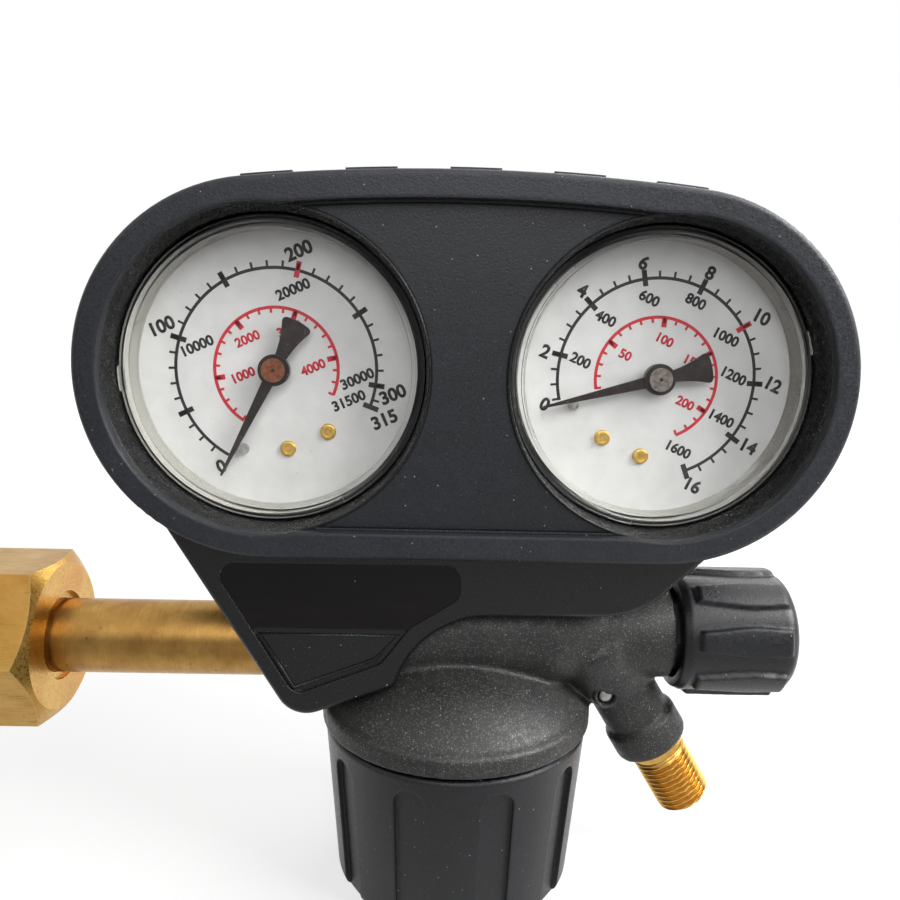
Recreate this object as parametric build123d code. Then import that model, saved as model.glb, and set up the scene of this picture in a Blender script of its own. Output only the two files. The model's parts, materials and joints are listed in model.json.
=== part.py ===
from build123d import *
import os
from math import asin, atan2, cos, degrees, radians, sin, sqrt, tan

# Oxygen regulator: a painted casting with a brass inlet stem and union nut, a large
# adjusting knob below, a shut-off knob and a hose outlet on the right, and two gauges
# in a moulded cover with a rubber bumper.
# Millimetres. X runs from the inlet to the shut-off knob, Y to the back, Z up.
# Everything is drawn about the crossing of the inlet axis and the adjusting knob's
# axis, and write_parts moves it so that the origin is the mouth of the inlet nut.

# Clearances
FIT = 0.05
GAP = 0.3

# Inlet: stem, union nut and thrust washer
STEM_R = 8.6
STEM_BORE_R = 3.0
SPIGOT_R = 8.0
NUT_FACE_X = -93.6
NUT_LENGTH = 33.0
NUT_FLATS = 36.0
NUT_CHAMFER = 30.0
NUT_CHAMFER_INSET = 1.0
NUT_SHOULDER = 5.6
NUT_RECESS_R = 10.4
NUT_RECESS = 1.0
INLET_THREAD_R = 12.1
INLET_THREAD_LENGTH = 12.0
THREAD_RELIEF = 0.6
FLANGE_R = 11.6
FLANGE_T = 4.0
NOSE_R = 8.0
NOSE_END_R = 5.6
WASHER_T = 1.4
O_RING_WIRE_R = 1.2
O_RING_SINK = 1.4
FILTER_R = 2.9
FILTER_LENGTH = 9.0
INLET_X = NUT_FACE_X - NUT_LENGTH

# Body casting
BELL_R = 32.0
RIM_Z = -17.0
RIM_BAND = 3.4
RIM_ROUND = 1.3
DOME_TOP_R = 13.0
DOME_TOP_Z = -1.2
DOME_BULGE = 1.2
DOME_LEAN = 0.72
VALVE_Z = 3.9
BARREL_R = 13.4
BARREL_LEFT = -26.0
BARREL_RIGHT = 22.0
ARM_R = 11.2
ARM_START = 34.0
ARM_END = 50.0
INLET_BOSS_R = 12.6
INLET_BOSS_END = -38.0
SPIGOT_DEPTH = 15.0
CAST_ROUND = 1.0
BARREL_NECK = 4.0

# Outlet elbow and its nipple
OUTLET_X = 31.1
OUTLET_TILT = 31.7
ELBOW_TOP_R = 13.0
ELBOW_START = 2.0
ELBOW_TAPER = 15.0
ELBOW_R = 8.0
COLLAR_R = 9.05
COLLAR_LENGTH = 7.6
COLLAR_END = 33.3
OUTLET_THREAD_R = 6.58
OUTLET_NECK_R = 6.3
OUTLET_NECK = 2.4
OUTLET_LENGTH = 17.0
OUTLET_BORE_R = 3.0
OUTLET_SEAT_R = 4.8
OUTLET_SEAT_SLOPE = 1.7
OUTLET_SPIGOT_R = 5.6
OUTLET_SPIGOT = 9.0
PLUG_X = 34.8
PLUG_Z = -9.8
PLUG_RECESS_R = 2.4
PLUG_RECESS = 1.1
PLUG_BALL_R = 1.6

# Diaphragm housing
BELL_WALL = 5.5
LEDGE_Z = -12.0
LEDGE_WIDTH = 4.0
CHAMBER_Z = -9.5
DIAPHRAGM_T = 1.5
PLATE_R = 14.0
PLATE_T = 2.4
STUD_R = 3.0
SPRING_SEAT_R = 6.5
BONNET_WALL = 3.0
BONNET_FLOOR_Z = -46.0
BONNET_FLOOR_T = 4.0

# Seat cartridge and poppet
CARTRIDGE_R = 7.0
CARTRIDGE_BOTTOM = -8.4
CARTRIDGE_TOP = 13.4
CARTRIDGE_WAIST_R = 5.4
CARTRIDGE_BORE_R = 4.2
CARTRIDGE_CAP = 2.4
SEAT_Z = 1.9
PIN_R = 1.4
POPPET_R = 3.5
POPPET_HEAD = 4.0
POPPET_LIFT = 0.8
POPPET_SPRING_WIRE_R = 0.35
POPPET_SPRING_R = 2.6

# Adjusting knob, its screw and the main spring
KNOB_STEP = 0.8
KNOB_GAP = 1.0
KNOB_BOTTOM_Z = -55.6
KNOB_TAPER = 5.0
KNOB_FLOOR_T = 5.0
KNOB_WALL = 7.0
KNOB_PLAY = 0.7
KNOB_ROUND = 2.5
FLUTES = 10
FLUTE_WIDTH = 7.0
FLUTE_DEPTH = 1.3
FLUTE_TOP_GAP = 3.4
FLUTE_ANGLE = -38.0
SCREW_R = 5.0
SCREW_TOP_Z = -24.0
SCREW_FLANGE_R = 9.0
SCREW_FLANGE_T = 2.4
SCREW_TAIL_R = 4.0
BUTTON_PLAY = 4.0
BUTTON_Z = -41.0
BUTTON_T = 5.0
MAIN_WIRE_R = 1.6
MAIN_SPRING_R = 10.5
MAIN_SPRING_TURNS = 4
KNOB_SCREW_R = 2.0
KNOB_SCREW_HEAD_R = 5.4
KNOB_SCREW_HEAD = 2.4
KNOB_SCREW_SOCKET = 1.44
KNOB_SCREW_LENGTH = 8.0

# Shut-off valve
VALVE_BORE_R = 8.0
VALVE_THREAD = 8.0
VALVE_CHAMBER_R = 6.0
VALVE_CHAMBER_LEFT = 29.0
VALVE_SEAT_R = 2.5
PLUG_LENGTH = 6.5
PLUG_R = 4.6
PLUG_TRAVEL = 2.25
PLUG_FACE = 2.0
SPINDLE_R = 3.6
SPINDLE_THREAD_R = 2.6
SPINDLE_COLLAR_R = 5.2
SPINDLE_COLLAR = 2.0
GLAND_FLATS = 16.0
GLAND_HEAD = 7.0
HANDLE_X = 50.9
HANDLE_LENGTH = 26.9
HANDLE_R = 13.9
HANDLE_LEFT_R = 13.2
HANDLE_CROWN_R = 15.1
HANDLE_BORE_R = 11.2
HANDLE_BORE = 9.5
HANDLE_ROUND = 3.2
HANDLE_ROUND_MIDDLE = 0.96
LUGS = 8
LUG_ANGLE = 34.0
LUG_START = 1.7
LUG_END = 3.3
LUG_NARROW = 3.9
LUG_WIDE = 5.3
HANDLE_SCREW_R = 1.6
HANDLE_SCREW_HEAD_R = 5.0
HANDLE_SLOT_DEPTH = 0.5
HANDLE_SLOT_WIDTH = 0.8

# Gauges
GAUGE_X = 40.5
GAUGE_Z = 64.7
GAUGE_TURN = {"left": 24.2, "right": -24.2}
CASE_R = 31.5
CASE_WALL = 1.0
CASE_ROUND = 0.8
CASE_FRONT = -16.2
CASE_BACK = 9.0
WINDOW_INSET = 0.5
WINDOW_STEP = 1.4
WINDOW_FLANGE = 1.6
WINDOW_FACE = -19.4
WINDOW_T = 1.4
WINDOW_TABS = 3
TAB_WIDTH = 5.0
TAB_SINK = 0.5
TAB_ANGLE = 40.0
DIAL_FRONT = -12.1
DIAL_T = 0.6
DIAL_RIVET_RADIUS = 17.0
DIAL_RIVET_SPREAD = 16.0
DIAL_RIVET_R = 1.7
DIAL_RIVET_HEAD = 0.8
DIAL_RIVET_DISH_R = 1.0
DIAL_RIVET_DISH = 0.45
STOP_PIN_R = 0.5
STOP_PIN_RADIUS = 18.5
STOP_PIN_LEAD = 4.2
ZERO_ANGLE = 219.0
STOP_PIN_FOOT_R = 1.2
POINTER_LIFT = 2.3
POINTER_T = 0.5
POINTER_MARGIN = 4.6
POINTER_TAIL = 11.4
POINTER_WIDTH = 2.4
POINTER_TIP_WIDTH = 0.45
POINTER_TAIL_WIDTH = 7.0
POINTER_TAIL_ROUND = 0.9
POINTER_NECK = 2.64
POINTER_FLARE = 0.32
POINTER_HUB_R = 3.3
POINTER_HUB_T = 1.1
CAP_R = 2.45
CAP_T = 0.7
PINION_R = 1.3
SPINDLE_PIN_R = 0.8
MOVEMENT_FRONT = -10.6
MOVEMENT_BACK = -3.6
MOVEMENT_PLATE = 1.1
MOVEMENT_HALF = 8.0
PILLAR_INSET = 1.4
PILLAR_R = 0.9
SECTOR_PIVOT = 13.0
SECTOR_SPAN = 48.0
SECTOR_SWING = 30.0
SECTOR_T = 1.2
SECTOR_TAIL = 1.2
TUBE_R = 22.0
TUBE_WIDTH = 5.6
TUBE_DEPTH = 2.0
TUBE_ARC = 255.0
SOCKET_BLOCK = 12.0
SOCKET_INNER = 15.4
SOCKET_SQUARE = 14.0
SOCKET_REACH = 9.5
SOCKET_THREAD_R = 6.58
SOCKET_THREAD = 12.0
SOCKET_BORE_R = 1.5
BOSS_R = 9.6
STEM_SLOT_R = 10.2

# Gauge cover
COVER_MARGIN = 5.75
COVER_CROWN = 2.2
END_MIDDLE = 22.0
COVER_FRONT = -26.3
COVER_SPLIT = 0.0
COVER_BACK = 14.6
COVER_WALL = 2.2
BUMPER_T = 3.0
BUMPER_LIP = 2.5
BUMPER_BACK = -4.0
RIM_WIDTH = 5.4
BUMPER_ROUND = 1.1
PAD_HEIGHT = 0.9
PAD_LENGTH = 10.0
PAD_FRONT = -22.6
PAD_BACK = -9.0
PAD_PITCH = 20.2
PAD_SHIFT = 0.2
PAD_ANGLES = (120, 150, 180, 210, 240)
RECESS_FLARE = 0.9
RECESS_FLOOR = -18.0
FUNNEL_WALL = 1.6
FUNNEL_BACK = -13.0
PANEL_LIP = 0.5
PANEL_T = 1.2
PANEL_SINK = 0.35
REAR_ROUND = 5.0
REAR_RIB_R = 22.0
REAR_RIB_T = 1.8
COVER_SCREW_X = 9.0
COVER_SCREW_INSET = 7.25
COVER_BOSS_R = 4.2
COVER_SCREW_R = 1.5
COVER_SCREW_LENGTH = 18.0
COVER_SCREW_HEAD_R = 2.9
COVER_SCREW_HEAD = 2.0
CROSS_LENGTH = 4.06
CROSS_WIDTH = 0.7
CROSS_DEPTH = 0.6
SHIELD_FRONT = -18.0
SHIELD_BACK = -13.7
SHIELD_ROUND = 1.3
LABEL_RECESS = 0.8
LABEL_T = 0.6
LABEL_SPLIT_Z = 9.5
LABEL_DROP = 3.45
LABEL_ROUND = 3.2
LABEL_LEFT = -54.2
LABEL_RIGHT = -0.4
LABEL_STEP = (-11.1, 9.8)
LABEL_HEEL = (-17.2, 1.6)
LABEL_TOE = (-36.1, -5.9)
LABEL_SIDE = 7.3
APRON_TOP = 34.3
APRON_LEFT = -65.2
APRON_RIGHT = 60.9
APRON_TOE = (-36.6, -11.9)
APRON_HEEL = (-14.0, -3.9)
APRON_INSTEP = (-8.0, 6.8)
APRON_WAIST = (6.0, 12.5)
APRON_FLAT = (30.0, 12.9)
APRON_BEND = (36.9, 14.0)
APRON_SHOULDER = (43.0, 17.3)
APRON_TOE_ROUND = 7.0
APRON_HEEL_ROUND = 2.0

# Radii and faces that follow from the sizes above
THREAD_BORE_R = BELL_R - BELL_WALL
CHAMBER_R = THREAD_BORE_R - LEDGE_WIDTH
KNOB_TOP_R = BELL_R - KNOB_STEP
KNOB_BORE_R = KNOB_TOP_R - KNOB_WALL
BONNET_R = KNOB_BORE_R - KNOB_PLAY
BUTTON_R = BONNET_R - BONNET_WALL - BUTTON_PLAY
WINDOW_R = CASE_R - WINDOW_INSET
WINDOW_STEP_R = WINDOW_R - WINDOW_STEP
WINDOW_SKIRT_R = CASE_R - CASE_WALL - GAP
DIAL_R = WINDOW_SKIRT_R - GAP
POINTER_TIP = DIAL_R - POINTER_MARGIN
SOCKET_FACE = CASE_R + SOCKET_REACH
RECESS_FLOOR_R = CASE_R + GAP
RECESS_MOUTH_R = CASE_R + RECESS_FLARE
COVER_END_R = CASE_R + COVER_MARGIN
COVER_FOOT_Z = GAUGE_Z - COVER_END_R
COVER_SCREW_RISE = COVER_END_R - COVER_SCREW_INSET
OUTLET_DIR = Vector(sin(radians(OUTLET_TILT)), 0, -cos(radians(OUTLET_TILT)))
OUTLET_START = Vector(OUTLET_X, 0, VALVE_Z)
COVER_INNER = BUMPER_T + FIT + COVER_WALL
HOUSING_FRONT = COVER_FRONT + BUMPER_LIP
DIAPHRAGM_BOTTOM = LEDGE_Z - DIAPHRAGM_T
PLATE_TOP = DIAPHRAGM_BOTTOM - 2 * FIT
PLATE_BOTTOM = PLATE_TOP - PLATE_T
BUTTON_TOP = BUTTON_Z + BUTTON_T
KNOB_TOP_Z = RIM_Z - KNOB_GAP
KNOB_FLOOR_Z = KNOB_BOTTOM_Z + KNOB_FLOOR_T
KNOB_SEAT_Z = KNOB_BOTTOM_Z + KNOB_SCREW_HEAD
HANDLE_END = HANDLE_X + HANDLE_LENGTH
STEM_SEAT_X = INLET_BOSS_END + SPIGOT_DEPTH
SHOULDER_X = NUT_FACE_X - NUT_SHOULDER
WASHER_X = SHOULDER_X - GAP - WASHER_T
FLANGE_X = WASHER_X - GAP - FLANGE_T
NOSE_X = INLET_X + INLET_THREAD_LENGTH + GAP
HEX_TO_CORNER = 1 / cos(radians(30))

# The middle of a rounded corner lies this share of its radius in from each edge
CORNER_NEAR = 0.29
CORNER_FAR = 1 - CORNER_NEAR


def rod(start, direction, radius, length):
    """A round bar from start along direction."""
    bar = Cylinder(radius, length, align=(Align.CENTER, Align.CENTER, Align.MIN))
    return Plane(origin=start, z_dir=direction) * bar


def rod_x(x_low, x_high, radius, z=0.0):
    return rod((x_low, 0, z), (1, 0, 0), radius, x_high - x_low)


def rod_z(z_low, z_high, radius, x=0.0):
    return rod((x, 0, z_low), (0, 0, 1), radius, z_high - z_low)


def slab(sketch, y_front, y_back):
    """A sketch of X and Z, extruded from y_back forward to y_front."""
    plane = Plane(origin=(0, y_back, 0), x_dir=(1, 0, 0), z_dir=(0, -1, 0))
    return extrude(plane * sketch, amount=y_back - y_front)


def turned(profile, origin, axis, start=(1, 0, 0)):
    """Revolve a closed outline of (radius, height) points about axis through origin."""
    outline = Polyline(*profile, close=True)
    shape = revolve(make_face(outline), Axis.Y, 360)
    upright = Plane(origin=(0, 0, 0), x_dir=(1, 0, 0), z_dir=(0, -1, 0))
    solid = upright * shape
    return Plane(origin=origin, x_dir=start, z_dir=axis) * solid


def torus(origin, axis, radius, wire):
    return Plane(origin=origin, z_dir=axis) * Torus(radius, wire)


def spring(z_low, z_high, radius, wire, turns):
    """A helical spring on the Z axis with its wire inside z_low and z_high."""
    pitch = (z_high - z_low - 2 * wire) / turns
    path = Helix(pitch=pitch, height=pitch * turns, radius=radius)
    section = Plane(origin=path @ 0, z_dir=path % 0) * Circle(wire)
    return Pos(0, 0, z_low + wire) * sweep(section, path=path, is_frenet=True)


def about_gauge(side, shape):
    """Place a shape drawn with the gauge's stem straight down at the origin."""
    sign = -1 if side == "left" else 1
    return Pos(sign * GAUGE_X, 0, GAUGE_Z) * Rot(0, -GAUGE_TURN[side], 0) * shape


def gauge_down(side):
    """Unit vector from the gauge's centre along its stem."""
    turn = radians(GAUGE_TURN[side])
    return Vector(sin(turn), 0, -cos(turn))


def gauge_centre(side):
    return Vector(-GAUGE_X if side == "left" else GAUGE_X, 0, GAUGE_Z)


# Body


def bell():
    """Domed housing over the diaphragm, with a rounded rim."""
    shoulder = (BELL_R - RIM_ROUND, RIM_Z + RIM_BAND + RIM_ROUND)
    middle = ((DOME_TOP_R + shoulder[0]) / 2, (DOME_TOP_Z + shoulder[1]) / 2)
    rise = (middle[0] + DOME_LEAN, middle[1] + DOME_BULGE)
    edge = (BELL_R, RIM_Z + RIM_BAND)
    corner = (BELL_R - RIM_ROUND * CORNER_NEAR, RIM_Z + RIM_BAND + RIM_ROUND * CORNER_FAR)
    outline = Curve() + [
        Line((0, RIM_Z), (BELL_R, RIM_Z)),
        Line((BELL_R, RIM_Z), edge),
        ThreePointArc(edge, corner, shoulder),
        ThreePointArc(shoulder, rise, (DOME_TOP_R, DOME_TOP_Z)),
        Line((DOME_TOP_R, DOME_TOP_Z), (0, DOME_TOP_Z)),
        Line((0, DOME_TOP_Z), (0, RIM_Z)),
    ]
    return revolve(Plane.XZ * make_face(outline), Axis.Z, 360)


def elbow():
    """Outlet branch that leans out of the arm and ends in a collar."""
    start = OUTLET_START + OUTLET_DIR * ELBOW_START
    reach = COLLAR_END - COLLAR_LENGTH - ELBOW_START
    cone = Cone(ELBOW_TOP_R, ELBOW_R, ELBOW_TAPER, align=(Align.CENTER, Align.CENTER, Align.MIN))
    tube = Cylinder(ELBOW_R, reach + CAST_ROUND, align=(Align.CENTER, Align.CENTER, Align.MIN))
    collar = Cylinder(COLLAR_R, COLLAR_LENGTH, align=(Align.CENTER, Align.CENTER, Align.MIN))
    collar = fillet(collar.edges().filter_by(GeomType.CIRCLE), CAST_ROUND)
    collar = Plane(origin=start + OUTLET_DIR * reach, z_dir=OUTLET_DIR) * collar
    return Plane(origin=start, z_dir=OUTLET_DIR) * (cone + tube) + collar


def gauge_boss(side):
    centre = gauge_centre(side)
    down = gauge_down(side)
    reach = (GAUGE_Z - VALVE_Z) / cos(radians(GAUGE_TURN[side]))
    return rod(centre + down * SOCKET_FACE, down, BOSS_R, reach - SOCKET_FACE)


def casting_blank():
    barrel = rod_x(BARREL_LEFT, BARREL_RIGHT, BARREL_R, VALVE_Z)
    neck = Cone(BARREL_R, ARM_R, ARM_START - BARREL_RIGHT,
                align=(Align.CENTER, Align.CENTER, Align.MIN))
    neck = Plane(origin=(BARREL_RIGHT, 0, VALVE_Z), z_dir=(1, 0, 0)) * neck
    arm = rod_x(ARM_START, ARM_END, ARM_R, VALVE_Z)
    inlet = rod_x(INLET_BOSS_END, 0, INLET_BOSS_R)
    shoulder = Cone(INLET_BOSS_R, BARREL_R, BARREL_NECK,
                    align=(Align.CENTER, Align.CENTER, Align.MIN))
    shoulder = Plane(origin=(BARREL_LEFT - BARREL_NECK, 0, VALVE_Z), z_dir=(1, 0, 0)) * shoulder
    blank = bell() + barrel + neck + arm + inlet + shoulder + elbow()
    for side in GAUGE_TURN:
        blank += gauge_boss(side)
    return blank


def valve_bores():
    """Bore of the shut-off valve, its seat passage and the outlet channel."""
    cut = rod_x(ARM_END - VALVE_THREAD, ARM_END + GAP, VALVE_BORE_R + FIT, VALVE_Z)
    cut += rod_x(VALVE_CHAMBER_LEFT, ARM_END, VALVE_CHAMBER_R, VALVE_Z)
    feed_x = CHAMBER_R - 2 * VALVE_SEAT_R
    cut += rod_x(feed_x, VALVE_CHAMBER_LEFT, VALVE_SEAT_R, VALVE_Z)
    cut += rod_z(CHAMBER_Z, VALVE_Z, VALVE_SEAT_R, feed_x)
    cut += rod(OUTLET_START, OUTLET_DIR, OUTLET_BORE_R, COLLAR_END)
    socket = OUTLET_START + OUTLET_DIR * (COLLAR_END - OUTLET_SPIGOT)
    return cut + rod(socket, OUTLET_DIR, OUTLET_SPIGOT_R + FIT, OUTLET_SPIGOT + GAP)


def gauge_bores():
    """Threaded bores for the gauge stems and the channels that feed them."""
    cut = None
    for side in GAUGE_TURN:
        centre = gauge_centre(side)
        down = gauge_down(side)
        seat = rod(centre + down * (SOCKET_FACE - GAP), down, SOCKET_THREAD_R + FIT,
                   SOCKET_THREAD + GAP + 2 * CAST_ROUND)
        cut = seat if cut is None else cut + seat
    left_reach = GAUGE_Z / cos(radians(GAUGE_TURN["left"]))
    cut += rod(gauge_centre("left"), gauge_down("left"), SOCKET_BORE_R, left_reach)
    right_x = CARTRIDGE_R + 3 * SOCKET_BORE_R
    fall = (GAUGE_X - right_x) / -tan(radians(GAUGE_TURN["right"]))
    low = fall / cos(radians(GAUGE_TURN["right"]))
    cut += rod(gauge_centre("right"), gauge_down("right"), SOCKET_BORE_R, low)
    return cut + rod_z(CHAMBER_Z, GAUGE_Z - fall, SOCKET_BORE_R, right_x)


def plug_front():
    """Y of the elbow's front face at the plug, from the cone's radius there."""
    along = (Vector(PLUG_X, 0, PLUG_Z) - OUTLET_START).dot(OUTLET_DIR)
    share = min(1, (along - ELBOW_START) / ELBOW_TAPER)
    radius = ELBOW_TOP_R + share * (ELBOW_R - ELBOW_TOP_R)
    foot = OUTLET_START + OUTLET_DIR * along
    side = (Vector(PLUG_X, 0, PLUG_Z) - foot).length
    return -sqrt(radius ** 2 - side ** 2)


def make_body_casting():
    body = casting_blank()
    body -= rod_z(RIM_Z - GAP, LEDGE_Z, THREAD_BORE_R)
    body -= rod_z(LEDGE_Z - GAP, CHAMBER_Z, CHAMBER_R)
    body -= rod_z(CHAMBER_Z - GAP, CARTRIDGE_TOP, CARTRIDGE_R + FIT)
    body -= rod_x(INLET_BOSS_END - GAP, STEM_SEAT_X, SPIGOT_R + FIT)
    body -= rod_x(STEM_SEAT_X - GAP, 0, STEM_BORE_R)
    body -= valve_bores()
    body -= gauge_bores()
    front = plug_front()
    body -= rod((PLUG_X, front - GAP, PLUG_Z), (0, 1, 0), PLUG_RECESS_R, PLUG_RECESS + GAP)
    return body - rod((PLUG_X, front, PLUG_Z), (0, 1, 0), PLUG_BALL_R + FIT,
                      PLUG_RECESS + 2 * PLUG_BALL_R)


def make_port_plug():
    """Steel ball pressed into the cross drilling's mouth."""
    y = plug_front() + PLUG_RECESS / 2 + PLUG_BALL_R
    return Pos(PLUG_X, y, PLUG_Z) * Sphere(PLUG_BALL_R)


def make_outlet_nipple():
    """Brass nipple with a hose thread and a conical seat in its end."""
    start = OUTLET_START + OUTLET_DIR * (COLLAR_END - OUTLET_SPIGOT)
    full = OUTLET_SPIGOT + OUTLET_LENGTH
    chamfered = OUTLET_THREAD_R - OUTLET_NECK_R
    seat_depth = (OUTLET_SEAT_R - OUTLET_BORE_R) * OUTLET_SEAT_SLOPE
    profile = [
        (OUTLET_BORE_R, 0), (OUTLET_SPIGOT_R, 0), (OUTLET_SPIGOT_R, OUTLET_SPIGOT),
        (OUTLET_NECK_R, OUTLET_SPIGOT), (OUTLET_NECK_R, OUTLET_SPIGOT + OUTLET_NECK),
        (OUTLET_THREAD_R, OUTLET_SPIGOT + OUTLET_NECK + chamfered),
        (OUTLET_THREAD_R, full - 3 * chamfered), (OUTLET_THREAD_R - 3 * chamfered, full),
        (OUTLET_SEAT_R, full), (OUTLET_BORE_R, full - seat_depth),
    ]
    return turned(profile, start, OUTLET_DIR, (0, 1, 0))


# Inlet


def make_inlet_stem():
    """Turned brass stem with a flange and the nose that seats in the cylinder valve."""
    groove_x = (NOSE_X + FLANGE_X) / 2
    half = O_RING_WIRE_R + FIT
    floor_r = NOSE_R - O_RING_SINK * O_RING_WIRE_R
    profile = [
        (STEM_BORE_R, NOSE_X), (NOSE_END_R, NOSE_X), (NOSE_R, NOSE_X + NOSE_R - NOSE_END_R),
        (NOSE_R, groove_x - half), (floor_r, groove_x - half), (floor_r, groove_x + half),
        (NOSE_R, groove_x + half), (NOSE_R, FLANGE_X), (FLANGE_R, FLANGE_X),
        (FLANGE_R, FLANGE_X + FLANGE_T), (STEM_R, FLANGE_X + FLANGE_T),
        (STEM_R, INLET_BOSS_END), (SPIGOT_R, INLET_BOSS_END), (SPIGOT_R, STEM_SEAT_X),
        (STEM_BORE_R, STEM_SEAT_X),
    ]
    return turned(profile, (0, 0, 0), (1, 0, 0), (0, 1, 0))


def make_inlet_seal():
    radius = NOSE_R - (O_RING_SINK - 1) * O_RING_WIRE_R + FIT
    return torus(((NOSE_X + FLANGE_X) / 2, 0, 0), (1, 0, 0), radius, O_RING_WIRE_R)


def make_inlet_filter():
    """Sintered bronze thimble in the mouth of the stem."""
    thimble = rod_x(NOSE_X + CAST_ROUND, NOSE_X + CAST_ROUND + FILTER_LENGTH, FILTER_R + FIT)
    wall = FILTER_R / 3
    return thimble - rod_x(NOSE_X, NOSE_X + CAST_ROUND + FILTER_LENGTH - wall, FILTER_R - wall)


def make_inlet_nut():
    """Hexagon union nut, chamfered at both ends, with a thread relief inside."""
    corner = NUT_FLATS / 2 * HEX_TO_CORNER
    prism = extrude(RegularPolygon(corner, 6), amount=NUT_LENGTH)
    prism = Plane(origin=(INLET_X, 0, 0), x_dir=(0, 1, 0), z_dir=(1, 0, 0)) * prism
    waist = NUT_FLATS / 2 - NUT_CHAMFER_INSET
    drop = (corner - waist) * tan(radians(NUT_CHAMFER))
    trim = turned([(0, 0), (waist, 0), (corner, drop), (corner, NUT_LENGTH - drop),
                   (waist, NUT_LENGTH), (0, NUT_LENGTH)], (INLET_X, 0, 0), (1, 0, 0), (0, 1, 0))
    nut = prism & trim
    thread_end = INLET_X + INLET_THREAD_LENGTH
    nut -= rod_x(INLET_X - GAP, thread_end, INLET_THREAD_R)
    nut -= rod_x(thread_end, SHOULDER_X, INLET_THREAD_R + THREAD_RELIEF)
    nut -= rod_x(SHOULDER_X - GAP, NUT_FACE_X + GAP, STEM_R + 2 * FIT)
    return nut - rod_x(NUT_FACE_X - NUT_RECESS, NUT_FACE_X + GAP, NUT_RECESS_R)


def make_thrust_washer():
    washer = rod_x(WASHER_X, WASHER_X + WASHER_T, FLANGE_R)
    return washer - rod_x(WASHER_X - GAP, WASHER_X + WASHER_T + GAP, STEM_R + 2 * FIT)


# Diaphragm, seat and springs


def make_diaphragm():
    disc = rod_z(DIAPHRAGM_BOTTOM, LEDGE_Z, THREAD_BORE_R - GAP)
    return disc - rod_z(DIAPHRAGM_BOTTOM - GAP, LEDGE_Z + GAP, STUD_R + GAP)


def make_diaphragm_plate():
    """Brass plate below the diaphragm, with a stud through it and a spring spigot."""
    plate = rod_z(PLATE_BOTTOM, PLATE_TOP, PLATE_R)
    plate += rod_z(PLATE_TOP, CARTRIDGE_BOTTOM - POPPET_LIFT - GAP, STUD_R)
    return plate + rod_z(PLATE_BOTTOM - PLATE_T, PLATE_BOTTOM, SPRING_SEAT_R)


def make_seat_cartridge():
    """Brass cartridge with the valve seat, a waist and cross holes for the gas."""
    body = rod_z(CARTRIDGE_BOTTOM, CARTRIDGE_TOP, CARTRIDGE_R)
    low = -STEM_BORE_R
    high = STEM_BORE_R + CAST_ROUND
    waist = rod_z(low, high, CARTRIDGE_R + GAP) - rod_z(low, high, CARTRIDGE_WAIST_R)
    body -= waist
    body -= rod_z(SEAT_Z, CARTRIDGE_TOP - CARTRIDGE_CAP, CARTRIDGE_BORE_R)
    body -= rod_z(CARTRIDGE_BOTTOM - GAP, SEAT_Z + GAP, PIN_R + 2 * FIT)
    feed_z = SEAT_Z + PIN_R
    return body - rod((0, -CARTRIDGE_R, feed_z), (0, 1, 0), PIN_R / 2, 2 * CARTRIDGE_R)


def make_poppet():
    low = CARTRIDGE_BOTTOM - POPPET_LIFT - GAP
    pin = rod_z(low, SEAT_Z + POPPET_HEAD, PIN_R)
    return pin + rod_z(SEAT_Z + FIT, SEAT_Z + POPPET_HEAD, POPPET_R)


def make_poppet_spring():
    low = SEAT_Z + POPPET_HEAD + FIT
    high = CARTRIDGE_TOP - CARTRIDGE_CAP - FIT
    return spring(low, high, POPPET_SPRING_R, POPPET_SPRING_WIRE_R, 3)


def make_bonnet():
    """Spring housing screwed into the bell, with the knob turning round it."""
    ring = rod_z(RIM_Z, DIAPHRAGM_BOTTOM, THREAD_BORE_R - FIT)
    shell = ring + rod_z(BONNET_FLOOR_Z - BONNET_FLOOR_T, RIM_Z, BONNET_R)
    shell -= rod_z(BONNET_FLOOR_Z, DIAPHRAGM_BOTTOM + GAP, BONNET_R - BONNET_WALL)
    return shell - rod_z(BONNET_FLOOR_Z - 2 * BONNET_FLOOR_T, BONNET_FLOOR_Z, SCREW_R + FIT)


def make_main_spring():
    return spring(BUTTON_TOP + FIT, PLATE_BOTTOM - FIT, MAIN_SPRING_R, MAIN_WIRE_R,
                  MAIN_SPRING_TURNS)


def make_spring_button():
    """Round nut that climbs the screw and loads the spring."""
    button = rod_z(BUTTON_Z, BUTTON_TOP, BUTTON_R)
    button += rod_z(BUTTON_TOP, BUTTON_TOP + BUTTON_T / 2, MAIN_SPRING_R - 2 * MAIN_WIRE_R)
    return button - rod_z(BUTTON_Z - GAP, BUTTON_TOP + BUTTON_T, SCREW_R + FIT)


def make_adjusting_screw():
    screw = rod_z(KNOB_FLOOR_Z, SCREW_TOP_Z, SCREW_R)
    flange_z = BONNET_FLOOR_Z + GAP
    screw += rod_z(flange_z, flange_z + SCREW_FLANGE_T, SCREW_FLANGE_R)
    screw += rod_z(KNOB_SEAT_Z, KNOB_FLOOR_Z, SCREW_TAIL_R)
    return screw - rod_z(KNOB_SEAT_Z - GAP, KNOB_SEAT_Z + KNOB_SCREW_LENGTH, KNOB_SCREW_R + FIT)


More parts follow.
